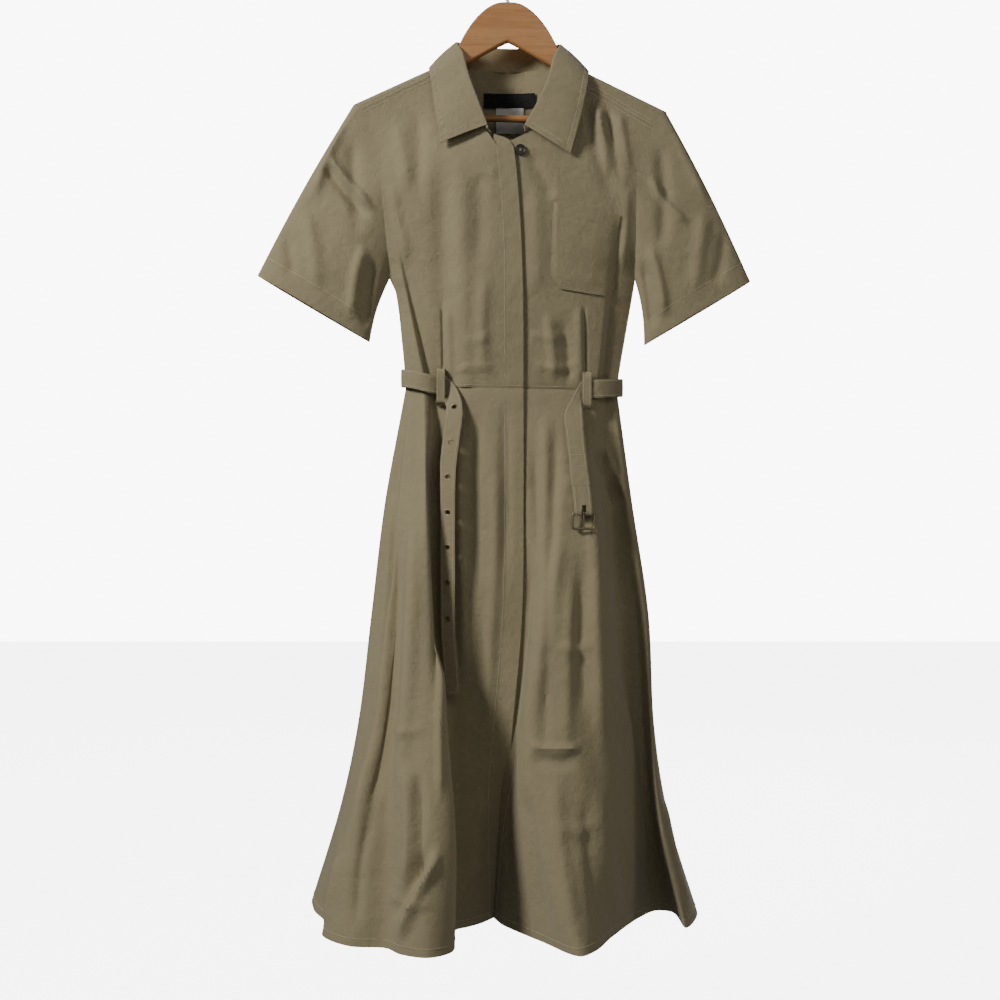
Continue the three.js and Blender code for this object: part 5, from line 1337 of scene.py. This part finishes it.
# The free end and the buckle's end: the edge that was the band's upper one, then its lower one
FREE_END = [
    ((-62.5, -66, -969), (-80, -59, -972)), ((-65, -63, -930), (-84, -56, -930)),
    ((-68.5, -60, -890), (-87, -53, -890)), ((-69, -58, -820), (-88, -50, -820)),
    ((-69, -56, -740), (-88, -48, -740)), ((-68.5, -54, -694), (-88.5, -46, -694)),
    ((-67, -51, -670), (-88.5, -44, -670)), ((-63, -47, -638), (-85, -40, -638)),
    ((-59.5, -41, -607), (-81.5, -36, -607)), ((-62, -34, -586), (-81, -30, -594)),
    ((-70, -27, -569), (-80.5, -24.5, -588)),
]
BUCKLE_END = [
    ((85, -33, -582), (96.5, -33, -594)), ((73, -41, -608), (96.8, -40, -604)),
    ((75, -49, -636), (98.2, -49, -636)), ((78.5, -55.5, -667), (101.5, -55.5, -667)),
    ((80.6, -59.7, -688), (103.6, -59.7, -688)), ((83.3, -64, -713), (106.3, -64, -713)),
]
BAR = (97, -64, -737)
BAR_RADIUS = 1.5
FOLD_RADIUS = BAR_RADIUS + 0.6 + BELT_THICK
STRAP_LEFT = BAR[0] - 11.7
STRAP_RIGHT = BAR[0] + 11.3
BACK_LAYER = [
    (0, 2 * FOLD_RADIUS, 0),
    (-24, 5.6, -1.7),
    (-49, 2 * BELT_THICK + 0.6, -4.7),
    (-70, 2 * BELT_THICK + 0.4, -6.8),
]
EYELET_Z = [-599, -645, -690, -736, -781, -827, -874]
EYELET_OUTER = 4.6
EYELET_INNER = 2.5
EYELET_HOLE = 3.5
BELT_STEP = 1.7
BELT_COLUMNS = 22


def strap_front_y(z):
    """The front of the hanging strap at a height."""
    zs = [row[0][2] for row in BUCKLE_END] + [BAR[2]]
    ys = [row[0][1] for row in BUCKLE_END] + [BAR[1] - FOLD_RADIUS]
    return through(zs, ys, z)


def belt_edge(upper):
    """One edge of the belt, from its free tip round the waist to the end of the fold behind the buckle."""
    k, sign = (0, 1) if upper else (1, -1)
    free = curve([row[k] for row in FREE_END], 12)
    band = curve(BELT_ROUND, 12) + np.array([0, 0, sign * BELT_WIDTH / 2])
    fall = curve([row[k] for row in BUCKLE_END], 12)
    x = STRAP_LEFT if upper else STRAP_RIGHT
    a = np.radians(np.linspace(0, 162, 19))
    fold = np.stack([np.full(len(a), x), BAR[1] - np.cos(a) * FOLD_RADIUS, BAR[2] - np.sin(a) * FOLD_RADIUS], -1)
    heights = [BAR[2] - drop for drop, _, _ in BACK_LAYER]
    rear = [(x + left, strap_front_y(z) + behind, z) for z, (_, behind, left) in zip(heights, BACK_LAYER)]
    rear = np.array(rear, float)
    return np.concatenate([free, band, fall, fold, rear])


def belt_grid():
    """The belt as rows across it, even along its middle, with its edges turned in a little."""
    upper, lower = belt_edge(True), belt_edge(False)
    middle = (upper + lower) / 2
    far = np.concatenate([[0], np.cumsum(np.linalg.norm(np.diff(middle, axis=0), axis=-1))])
    at = np.linspace(0, far[-1], int(far[-1] / BELT_STEP))
    pick = lambda line: np.stack([np.interp(at, far, line[:, k]) for k in range(3)], -1)
    soft = lambda line: (np.roll(line, 1, 0) + 2 * line + np.roll(line, -1, 0)) / 4
    edges = []
    for line in (pick(upper), pick(lower)):
        kept = line.copy()
        for _ in range(4):
            line = np.concatenate([kept[:1], soft(line)[1:-1], kept[-1:]])
        edges.append(line)
    share = np.linspace(0, 1, BELT_COLUMNS)[None, :, None]
    points = edges[0][:, None] + share * (edges[1] - edges[0])[:, None]
    out = -facing(points) * -1
    rounding = -0.45 * np.exp(-np.minimum(share, 1 - share)[..., 0] * BELT_WIDTH / 0.8)
    rounding = rounding + 0.35 * np.sin(math.pi * share[..., 0])
    return points + out * rounding[..., None]


def strap_frame(z):
    """The middle of the free end at a height and the way it faces."""
    rows = FREE_END[::-1]
    heights = [(row[0][2] + row[1][2]) / 2 for row in rows]
    edge = lambda k: np.array([*through(heights, np.array([row[k][:2] for row in rows], float), z), z])
    upper, lower = edge(0), edge(1)
    across = (upper - lower) / np.linalg.norm(upper - lower)
    out = np.cross(across, [0, 0, -1.0])
    out /= np.linalg.norm(out)
    out = -out if out[1] > 0 else out
    return (upper + lower) / 2 - out * BELT_THICK / 2, out


def wall_with_holes(name, outer, thickness, keep):
    """A closed wall whose cells are left out where keep is false, with a rim round each hole."""
    inner = outer + facing(outer) * thickness
    rows, cols = outer.shape[:2]
    half = rows * cols
    faces = grid_quads(rows, cols, False)[keep.ravel()]
    quads = [faces, faces[:, ::-1] + half]
    padded = np.pad(keep, 1)
    i, j = np.nonzero(padded[1:, 1:-1] != padded[:-1, 1:-1])
    a, b = i * cols + j, i * cols + j + 1
    turned_over = padded[i + 1, j + 1]
    rim = np.stack([b, a, a + half, b + half], -1)
    quads.append(np.where(turned_over[:, None], rim, rim[:, ::-1]))
    i, j = np.nonzero(padded[1:-1, 1:] != padded[1:-1, :-1])
    a, b = i * cols + j, (i + 1) * cols + j
    turned_over = padded[i + 1, j + 1]
    rim = np.stack([a, b, b + half, a + half], -1)
    quads.append(np.where(turned_over[:, None], rim, rim[:, ::-1]))
    uv = np.stack([lengths(outer, 1), lengths(outer, 0)], axis=-1).reshape(-1, 2)
    verts = np.concatenate([outer.reshape(-1, 3), inner.reshape(-1, 3)])
    return new_object(name, verts, np.concatenate(quads), np.concatenate([uv, uv]))


SLOT_HALF = 2.9
SLOT_BELOW = 7.5
SLOT_ABOVE = 11


def build_belt(settings):
    """The belt with its eyelet holes and the slot for the prong, its keeper and its two loops."""
    cotton = material("cotton", settings)
    outer = belt_grid()
    _grids["belt"] = outer
    cells = (outer[1:, 1:] + outer[:-1, :-1] + outer[1:, :-1] + outer[:-1, 1:]) / 4
    keep = np.ones(cells.shape[:2], bool)
    for z in EYELET_Z:
        middle, _ = strap_frame(z)
        keep &= np.linalg.norm(cells - middle, axis=-1) > EYELET_HOLE
    beside, above = np.abs(cells[..., 0] - BAR[0]), cells[..., 2] - BAR[2]
    keep &= ~((beside < SLOT_HALF) & (above > -SLOT_BELOW) & (above < SLOT_ABOVE))
    made = wall_with_holes("belt_cloth", outer, -BELT_THICK, keep)
    finish_cloth(made, outer, cotton, ["belt", "belt_fold"])
    build_keeper(settings)
    build_loops(settings)


def build_keeper(settings):
    """The keeper, a band round both layers of the strap with soft corners."""
    z = np.linspace(-680, -701, 22)[:, None]
    slide = through([-737, -713, -688, -667], [0, -1.7, -4.7, -6.8], z)
    left, right = STRAP_LEFT + slide - 0.7, STRAP_RIGHT + slide + 0.7
    front = strap_front_y(z) - 0.7
    rear = front + 7.6
    turn = np.linspace(0, 2 * math.pi, 97) + 0.75 * math.pi
    cosine, sine = np.cos(turn), np.sin(turn)
    square = lambda a: np.sign(a) * np.abs(a) ** 0.28
    x = (left + right) / 2 + (right - left) / 2 * square(cosine)
    y = (front + rear) / 2 + (rear - front) / 2 * square(sine)
    outer = grid(x, y, z + 0 * turn)
    _grids["keeper"] = outer
    made = wall("keeper_cloth", outer, -1.0)
    finish_cloth(made, outer, material("cotton", settings), ["belt_keeper"])


LOOPS = {
    "belt_loop_right": {"x": (-94, -83), "belt": -28, "top": -550, "foot": -592},
    "belt_loop_left": {"x": (97, 109), "belt": -29.5, "top": -555, "foot": -596},
}


def build_loops(settings):
    """The belt loops, upright strips over the belt."""
    for name, loop in LOOPS.items():
        x = np.linspace(*loop["x"], 15)[:, None]
        front = loop["belt"] - 1.9
        top = right_front_y(x[:, 0], loop["top"]) - 1.9
        foot = top - 1.0
        middle = (loop["top"] + loop["foot"]) / 2
        knots = np.stack([
            np.stack([top + 0.6, np.full(15, loop["top"] + 3.0)], -1),
            np.stack([np.minimum(top, front + 2), np.full(15, loop["top"] + 0.0)], -1),
            np.stack([np.full(15, front), np.full(15, loop["top"] - 5.0)], -1),
            np.stack([np.full(15, front - 0.4), np.full(15, middle)], -1),
            np.stack([np.full(15, front), np.full(15, loop["foot"] + 5.0)], -1),
            np.stack([np.minimum(front + 1, foot), np.full(15, loop["foot"] + 0.0)], -1),
            np.stack([foot + 0.6, np.full(15, loop["foot"] - 4.0)], -1),
        ], axis=1)
        line = curve(knots, 10)
        outer = grid(x + 0 * line[..., 0], line[..., 0], line[..., 1])
        _grids[name] = outer
        made = wall(f"{name}_cloth", outer, 1.1)
        finish_cloth(made, outer, material("cotton", settings), [name])


# Metalwork and button


def build_eyelets(settings):
    """Seven bronze eyelets, each a lathe with a rolled rim on both faces."""
    bronze = material("bronze", settings)
    a = np.linspace(0, 2 * math.pi, 25)[:-1]
    mid, half = (EYELET_OUTER + EYELET_INNER) / 2, (EYELET_OUTER - EYELET_INNER) / 2
    r = mid + half * np.sign(np.cos(a)) * np.abs(np.cos(a)) ** 0.8
    y = 1.35 * np.sin(a)
    profile = np.stack([r, y], -1)
    profile = np.concatenate([profile, profile[:1]])
    for index, z in enumerate(EYELET_Z):
        middle, out = strap_frame(z)
        points, quads = turned(profile, 40)
        last = (len(profile) - 1) * 40
        quads = np.where(quads >= last, quads - last, quads)
        points = turn_to(points[:last], out) + middle
        made = new_object(f"eyelet_{index + 1}_ring", points, quads, None, 60)
        finish_hard(made, bronze, "dress", [f"eyelet_{index + 1}"])


FRAME_WIDE = 28
FRAME_TALL = 20
FRAME_CORNER = 2.9
PRONG_REACH = 21.5
PRONG_LEAN = 2.9


def build_buckle(settings):
    """The buckle's frame, a wire bent into a rounded rectangle, and its prong with an eye round the bar."""
    bronze = material("bronze", settings)
    w, t, c = FRAME_WIDE / 2, FRAME_TALL, FRAME_CORNER
    centres = [(w - c, -c, 90), (w - c, -t + c, 0), (-w + c, -t + c, -90), (-w + c, -c, -180)]
    arcs = []
    for x, z, start in centres:
        a = np.radians(start - np.linspace(0, 90, 10))
        arcs.append(np.stack([x + c * np.cos(a), 0 * a, z + c * np.sin(a)], -1))
    corners = np.concatenate([*arcs, arcs[0][:1]])
    far = np.concatenate([[0], np.cumsum(np.linalg.norm(np.diff(corners, axis=0), axis=-1))])
    at = np.linspace(0, far[-1], 181)[:-1]
    route = np.stack([np.interp(at, far, corners[:, k]) for k in range(3)], -1) + np.array(BAR, float)
    made = tube("buckle_frame_wire", route, BAR_RADIUS, 20, closed=True)
    finish_hard(made, bronze, "buckle", ["buckle_frame"])
    turn = np.radians(np.linspace(-60, 285, 40))
    ring = np.stack([0 * turn, -np.cos(turn) * 2.35, np.sin(turn) * 2.35], -1)[::-1]
    pin = np.array([(0, -2.6, -1.4), (0, -2.9, -5), (0, -3.0, -12), (0, -PRONG_LEAN, -PRONG_REACH)], float)
    route = np.concatenate([ring, curve(pin, 10)[4:]])
    taper = np.concatenate([np.full(len(ring), 0.55), np.linspace(0.95, 0.75, len(route) - len(ring))])
    made = tube("buckle_prong_wire", route + np.array(BAR, float), taper, 16)
    finish_hard(made, bronze, "prong", ["buckle_prong"])


BUTTON = {"x": 16.2, "z": -263, "radius": 7.2, "thick": 2.6}
BUTTON_HOLES = 4
HOLE_RADIUS = 0.75
HOLE_FROM_MIDDLE = 1.9


BUTTON_EDGE = 0.35


def build_button(settings):
    """A dark button with a raised rim, four holes pressed in, and crossed thread through them."""
    radius, thick = BUTTON["radius"], BUTTON["thick"]
    rim = np.sin(np.linspace(0, math.pi / 2, 7)[1:])
    flat_to = radius - BUTTON_EDGE
    r = np.concatenate([np.linspace(0, flat_to, 46), flat_to + BUTTON_EDGE * rim])[:, None]
    turn = np.linspace(0, 2 * math.pi, 97)[:-1]
    rim = smooth((r - radius + 2.5) / 1.1)
    top = thick - 0.75 + 0.75 * rim - 0.35 * (1 - np.sqrt(np.clip(1 - ((r - radius + 0.35) / 0.35).clip(0) ** 2, 0, 1)))
    x, z = r * np.cos(turn), r * np.sin(turn)
    for k in range(BUTTON_HOLES):
        a = math.pi / 4 + k * math.pi / 2
        far = np.hypot(x - HOLE_FROM_MIDDLE * math.cos(a), z - HOLE_FROM_MIDDLE * math.sin(a))
        top = top - 1.5 * (1 - smooth((far - HOLE_RADIUS * 0.8) / 0.35))
    seat = min(front_y(BUTTON["x"] + s * radius, BUTTON["z"] - radius) for s in (-1, 1)) - SEAM
    upper = grid(x, -top, z)
    under = grid(x * 0.97, 0.15 * np.exp(-r) + 0 * x, z * 0.97)
    rows, cols = upper.shape[:2]
    points = np.concatenate([upper.reshape(-1, 3), under.reshape(-1, 3)])
    quads = [grid_quads(rows, cols, True), grid_quads(rows, cols, True, rows * cols)[:, ::-1]]
    j = np.arange(cols)
    a, b = (rows - 1) * cols + j, (rows - 1) * cols + (j + 1) % cols
    quads.append(np.stack([a, b, b + rows * cols, a + rows * cols], -1))
    place = np.array([BUTTON["x"], float(seat), BUTTON["z"]])
    quads = np.concatenate(quads)
    ring = lambda q: np.where(q < cols, 0, np.where((q >= rows * cols) & (q < rows * cols + cols), rows * cols, q))
    made = new_object("neck_button_disc", points + place, ring(quads), None, 50)
    finish_hard(made, material("button", settings), "dress", ["neck_button"])
    paths = []
    for k in range(2):
        a = math.pi / 4 + k * math.pi / 2
        s = np.linspace(-1, 1, 11)[:, None]
        way = np.array([math.cos(a), 0, math.sin(a)])
        for shift in (-0.28, 0.28):
            other = np.array([-math.sin(a), 0, math.cos(a)]) * shift
            bow = np.array([0, -1, 0]) * (thick - 0.55 - 1.1 * np.abs(s) ** 6)
            paths.append(s * way * HOLE_FROM_MIDDLE + other + bow + place)
    _grids["button threads"] = paths
    for k, path in enumerate(paths):
        made = tube(f"button_thread_{k + 1}", path, 0.27, 8)
        finish_hard(made, material("button_thread", settings), "dress")


# Hanger


HANGER_TOP = [
    (0, -58.2), (10, -58.9), (18, -61), (29, -67.6), (40, -77.5), (50, -89.8), (58, -102.5), (64, -114),
    (71, -128), (78, -139), (86, -145.6), (98, -149.6), (115, -158.2), (140, -170), (165, -181.8), (184, -190.8),
    (190, -194.6), (193, -199),
]
HANGER_UNDER = [
    (0, -112), (5, -114.2), (60, -144.4), (120, -176.8), (168, -202.7), (177, -207.5), (180, -214),
    (182, -221), (186, -224.5), (190, -222.5), (193, -216),
]
HANGER_THICK = 12
HANGER_ROUND = 4.6
TROUSER_BAR_HALF = 181
TROUSER_BAR_Z = -213
TROUSER_BAR_RADIUS = 4.7


def build_hanger(settings):
    """The wooden hanger: a plank whose sections run from its top edge to its underside with rounded edges,
    its trouser bar and its hook."""
    wood = material("wood", settings)
    x = np.concatenate([np.linspace(0, 172, 100), np.linspace(172, 193.4, 36)[1:]])
    half_top = curve(HANGER_TOP, 10)
    half_under = curve(HANGER_UNDER, 10)
    top = np.interp(x, half_top[:, 0], half_top[:, 1])
    under = np.interp(x, half_under[:, 0], half_under[:, 1])
    x = np.concatenate([-x[:0:-1], x])
    top, under = (np.concatenate([a[:0:-1], a]) for a in (top, under))
    high = top - under
    middle = (top + under) / 2 - TILT * x
    end = np.clip((194 - np.abs(x)) / 5, 0.02, 1)
    thin = np.sqrt(1 - (1 - end) ** 2)
    a = np.linspace(0, 2 * math.pi, 65)[:-1]
    r = np.minimum(HANGER_ROUND, high * 0.4)[:, None]
    wide = (HANGER_THICK / 2 * thin)[:, None]
    r = np.minimum(r, wide)
    y = np.sign(np.cos(a)) * (wide - r) + r * np.cos(a)
    z = np.sign(np.sin(a)) * (high[:, None] / 2 * thin[:, None] - r) + r * np.sin(a) + middle[:, None]
    points = grid(x[:, None], y, z)
    quads = grid_quads(len(x), 64, True)
    first, last = 0, (len(x) - 1) * 64
    fan = np.array([(first, k, k + 1, k + 2 if k + 2 < 64 else 0) for k in range(1, 62, 2)])
    quads = np.concatenate([quads, fan, fan[:, ::-1] + last])
    made = new_object("hanger_plank", points.reshape(-1, 3), quads, None, 35)
    finish_hard(made, wood, "dress", ["hanger_body"])
    s = np.linspace(-TROUSER_BAR_HALF, TROUSER_BAR_HALF, 41)
    rod = np.stack([s, 0 * s, TROUSER_BAR_Z - TILT * s], -1)
    made = tube("trouser_bar_rod", rod, TROUSER_BAR_RADIUS, 32)
    finish_hard(made, wood, "dress", [])
    route = [(0, -61.6), (-0.5, -56), (-6, -50.5), (-16, -45), (-24, -34.5), (-26, -24), (-22.5, -11), (-13, -1.5),
             (0, 2), (13, -1.5), (22.5, -11), (26, -24), (24, -34)]
    line = curve([(px, 0, pz) for px, pz in route], 14)
    far = np.linspace(0, 1, len(line))
    radius = 2.0 * np.sqrt(np.clip(1 - np.clip((far - 0.985) / 0.016, 0, 1) ** 2, 0.02, 1))
    made = tube("hook_wire", line, radius, 24)
    finish_hard(made, material("steel", settings), "dress", ["hanger_hook"])


# Stitching


def build_stitching(settings):
    """Topstitching along the placket, collar, shoulders, sleeves, pocket, waist, belt and hems."""
    g = _grids
    right, left, rear = (lifted(g["right"], 1), lifted(g["left"], -1), lifted(g["back"], 1))
    neck_to = BODICE_CUTS * 5
    shoulder = slice(neck_to, BODICE_CUTS * 8 + 1)
    paths = [away_from_edge(right, 1, 25)[3:-1]]
    for side in (right, left):
        for off in (3.2, ):
            paths.append(away_from_edge(side, 0, off)[shoulder])
    for first, last in ((8, 11), (len(BACK_HALF) * 2 + 1 - 12, len(BACK_HALF) * 2 + 1 - 9)):
        part = rear[:, first * REAR_CUTS : last * REAR_CUTS + 1]
        for off in (2.5, 8.0):
            paths.append(away_from_edge(part, 0, off))
    for name, panel, side in (("right front", right, 1), ("left front", left, 1)):
        paths.append(away_from_edge(panel, 0, 2.8, from_end=True)[2:-2])
    paths.append(away_from_edge(rear, 0, 2.8, from_end=True)[2:-2])
    skirt = {name: lifted(g["skirt " + name], 1) for name in SKIRT_PANELS}
    for name in SKIRT_PANELS:
        paths.append(away_from_edge(skirt[name], 0, 10, from_end=True))
    paths.append(away_from_edge(skirt["right front"], 1, 25)[2:])
    paths.append(away_from_edge(skirt["left front"], 1, 25, from_end=True)[2:])
    for side, sign in (("right", -1), ("left", 1)):
        sleeve = lifted(g["sleeve " + side], sign)
        paths.append(away_from_edge(sleeve, 0, 27, from_end=True))
    collar = lifted(g["collar"], -1)
    paths.append(away_from_edge(collar, 1, 7.5, from_end=True)[6:-6])
    for from_end in (False, True):
        paths.append(away_from_edge(collar, 0, 7.5, from_end=from_end)[28:-7])
    pocket = lifted(g["pocket"], 1)
    paths.append(away_from_edge(pocket, 0, 17))
    for from_end in (False, True):
        paths.append(away_from_edge(pocket, 1, 2.2, from_end=from_end)[1:-2])
    paths.append(away_from_edge(pocket, 0, 2.2, from_end=True)[2:-2])
    belt = lifted(g["belt"], -1)
    for from_end in (False, True):
        paths.append(away_from_edge(belt, 1, 2.6, from_end=from_end)[2:-4])
    paths.append(away_from_edge(belt, 0, 3)[2:-2])
    front = belt[:, :, 1] < strap_front_y(belt[:, :, 2]) + 1.5
    box = [k for k in range(len(belt)) if front[k].all() and belt[k, 0, 0] > 60]
    for z in (-661, -676):
        k = min(box, key=lambda row: abs(belt[row, 8, 2] - z))
        paths.append(belt[k, 2:-2])
    for name in LOOPS:
        loop = lifted(g[name], 1)
        for from_end in (False, True):
            paths.append(away_from_edge(loop, 0, 1.8, from_end=from_end))
    stitches("topstitching", [p for p in paths if len(p) > 1], settings, material("thread", settings))


# Stage


CAMERA_PLACE = (-0.01064, -1.9, -0.72)
CAMERA_LENS = 51.43
SKY_SEEN = 9.0
SKY_LIGHT = 0.1
LIGHTS = [
    ("key", (-1.9, -1.4, 0.7), (0.5, 0.6), 62, (1.0, 0.97, 0.91)),
    ("front_fill", (0.7, -2.4, 0.4), (1.2, 1.2), 8, (1.0, 0.97, 0.92)),
    ("warm_right", (2.0, -0.8, -0.9), (0.6, 1.4), 4, (1.0, 0.9, 0.76)),
    ("rear_fill", (0.6, 2.4, 0.6), (1.0, 1.4), 50, (1.0, 0.98, 0.95)),
]


def build_stage(settings):
    """A pale floor and world, three soft lights and the camera at the photograph's angle."""
    floor = bpy.data.meshes.new("floor")
    half = 6.0
    low = HEM_Z * MM - 0.23
    corners = [(-half, -half, low), (half, -half, low), (half, half, low), (-half, half, low)]
    floor.from_pydata(corners, [], [(0, 1, 2, 3)])
    plane = bpy.data.objects.new("floor", floor)
    plane.data.materials.append(material("floor", settings))
    bpy.context.scene.collection.objects.link(plane)
    plane.visible_diffuse = False
    plane.visible_glossy = False
    aim = np.array([0, 0, -0.7])
    for name, place, size, power, colour in LIGHTS:
        lamp = bpy.data.lights.new(name, "AREA")
        lamp.shape = "RECTANGLE"
        lamp.size, lamp.size_y = size
        lamp.energy = power
        lamp.color = colour
        made = bpy.data.objects.new(name, lamp)
        made.location = place
        way = aim - np.array(place)
        flat = math.hypot(way[0], way[1])
        made.rotation_euler = (math.atan2(flat, -way[2]), 0, math.atan2(way[1], way[0]) - math.pi / 2)
        bpy.context.scene.collection.objects.link(made)
    world = bpy.data.worlds.new("pale_world")
    world.use_nodes = True
    bpy.context.scene.world = world
    tree = world.node_tree
    back = tree.nodes["Background"]
    seen = Wire(tree, tree.nodes.new("ShaderNodeLightPath").outputs["Is Camera Ray"])
    feed(tree, back.inputs["Color"], (1, 1, 1, 1))
    feed(tree, back.inputs["Strength"], seen * SKY_SEEN + SKY_LIGHT)
    camera = bpy.data.objects.new("camera", bpy.data.cameras.new("camera"))
    camera.data.sensor_width = 36
    camera.data.lens = CAMERA_LENS
    camera.location = CAMERA_PLACE
    camera.rotation_euler = (math.pi / 2, 0, 0)
    bpy.context.scene.collection.objects.link(camera)
    bpy.context.scene.camera = camera


# The add-on's own classes


class DressSettings(bpy.types.PropertyGroup):
    """Sizes that drive the cloth, its weave and its stitching."""

    cloth: bpy.props.FloatProperty(
        name="Cloth", description="Thickness of the dress's cloth",
        default=0.001, min=0.0005, unit="LENGTH", precision=5)
    weave_pitch: bpy.props.FloatProperty(
        name="Weave pitch", description="Length of one over and under of the weave",
        default=0.0009, unit="LENGTH", precision=5)
    crumple: bpy.props.FloatProperty(
        name="Crumple", description="Share of the cloth's fine crumples", default=1.0, subtype="FACTOR", min=0, max=2)
    stitch_length: bpy.props.FloatProperty(
        name="Stitch", description="Length of a stitch", default=0.0024, unit="LENGTH", precision=5)
    stitch_gap: bpy.props.FloatProperty(
        name="Gap", description="Length between two stitches", default=0.0008, unit="LENGTH", precision=5)
    thread_radius: bpy.props.FloatProperty(
        name="Thread", description="Radius of the sewing thread", default=0.0004, unit="LENGTH", precision=5)


def operator(idname, label, text, build):
    """An operator class that runs one builder with the scene's settings."""

    def execute(self, context):
        build(context.scene.shirt_dress)
        return {"FINISHED"}

    name = "SHIRTDRESS_OT_" + idname.split(".")[1]
    return type(name, (bpy.types.Operator,), {
        "bl_idname": idname, "bl_label": label, "__doc__": text, "execute": execute, "bl_options": {"REGISTER", "UNDO"},
    })


OPERATORS = [
    operator("shirtdress.bodice", "Bodice", "Build both fronts, the back and the buttonhole band", build_bodice),
    operator("shirtdress.skirt", "Skirt", "Build the three panels of the skirt", build_skirt),
    operator("shirtdress.sleeves", "Sleeves", "Build both sleeves", build_sleeves),
    operator("shirtdress.collar", "Collar", "Build the collar", build_collar),
    operator("shirtdress.pocket", "Pocket", "Build the chest pocket", build_pocket),
    operator("shirtdress.labels", "Labels", "Build both bare labels", build_labels),
    operator("shirtdress.belt", "Belt", "Build the belt, its keeper and its loops", build_belt),
    operator("shirtdress.eyelets", "Eyelets", "Build the belt's seven eyelets", build_eyelets),
    operator("shirtdress.buckle", "Buckle", "Build the buckle's frame and prong", build_buckle),
    operator("shirtdress.button", "Button", "Build the neck button and its thread", build_button),
    operator("shirtdress.hanger", "Hanger", "Build the wooden hanger, its bar and hook", build_hanger),
    operator("shirtdress.stitching", "Stitching", "Sew the topstitching on the pieces", build_stitching),
    operator("shirtdress.stage", "Stage", "Set the floor, lights and camera", build_stage),
]


class SHIRTDRESS_PT_panel(bpy.types.Panel):
    """Lists the dress's operators and settings."""

    bl_label = "Shirt Dress"
    bl_idname = "SHIRTDRESS_PT_panel"
    bl_space_type = "VIEW_3D"
    bl_region_type = "UI"
    bl_category = "Dress"

    def draw(self, context):
        settings = context.scene.shirt_dress
        for key in DressSettings.__annotations__:
            self.layout.prop(settings, key)
        for made in OPERATORS:
            self.layout.operator(made.bl_idname)


CLASSES = [DressSettings, *OPERATORS, SHIRTDRESS_PT_panel]


def register():
    """Registers the classes and hangs the settings on the scene."""
    for made in CLASSES:
        bpy.utils.register_class(made)
    bpy.types.Scene.shirt_dress = bpy.props.PointerProperty(type=DressSettings)


def unregister():
    """Takes the settings and the classes away again."""
    del bpy.types.Scene.shirt_dress
    for made in reversed(CLASSES):
        bpy.utils.unregister_class(made)


def main():
    """Registers the add-on, builds every piece in order and writes the sizes."""
    register()
    for made in OPERATORS:
        group, name = made.bl_idname.split(".")
        getattr(getattr(bpy.ops, group), name)()


if __name__ == "__main__":
    main()
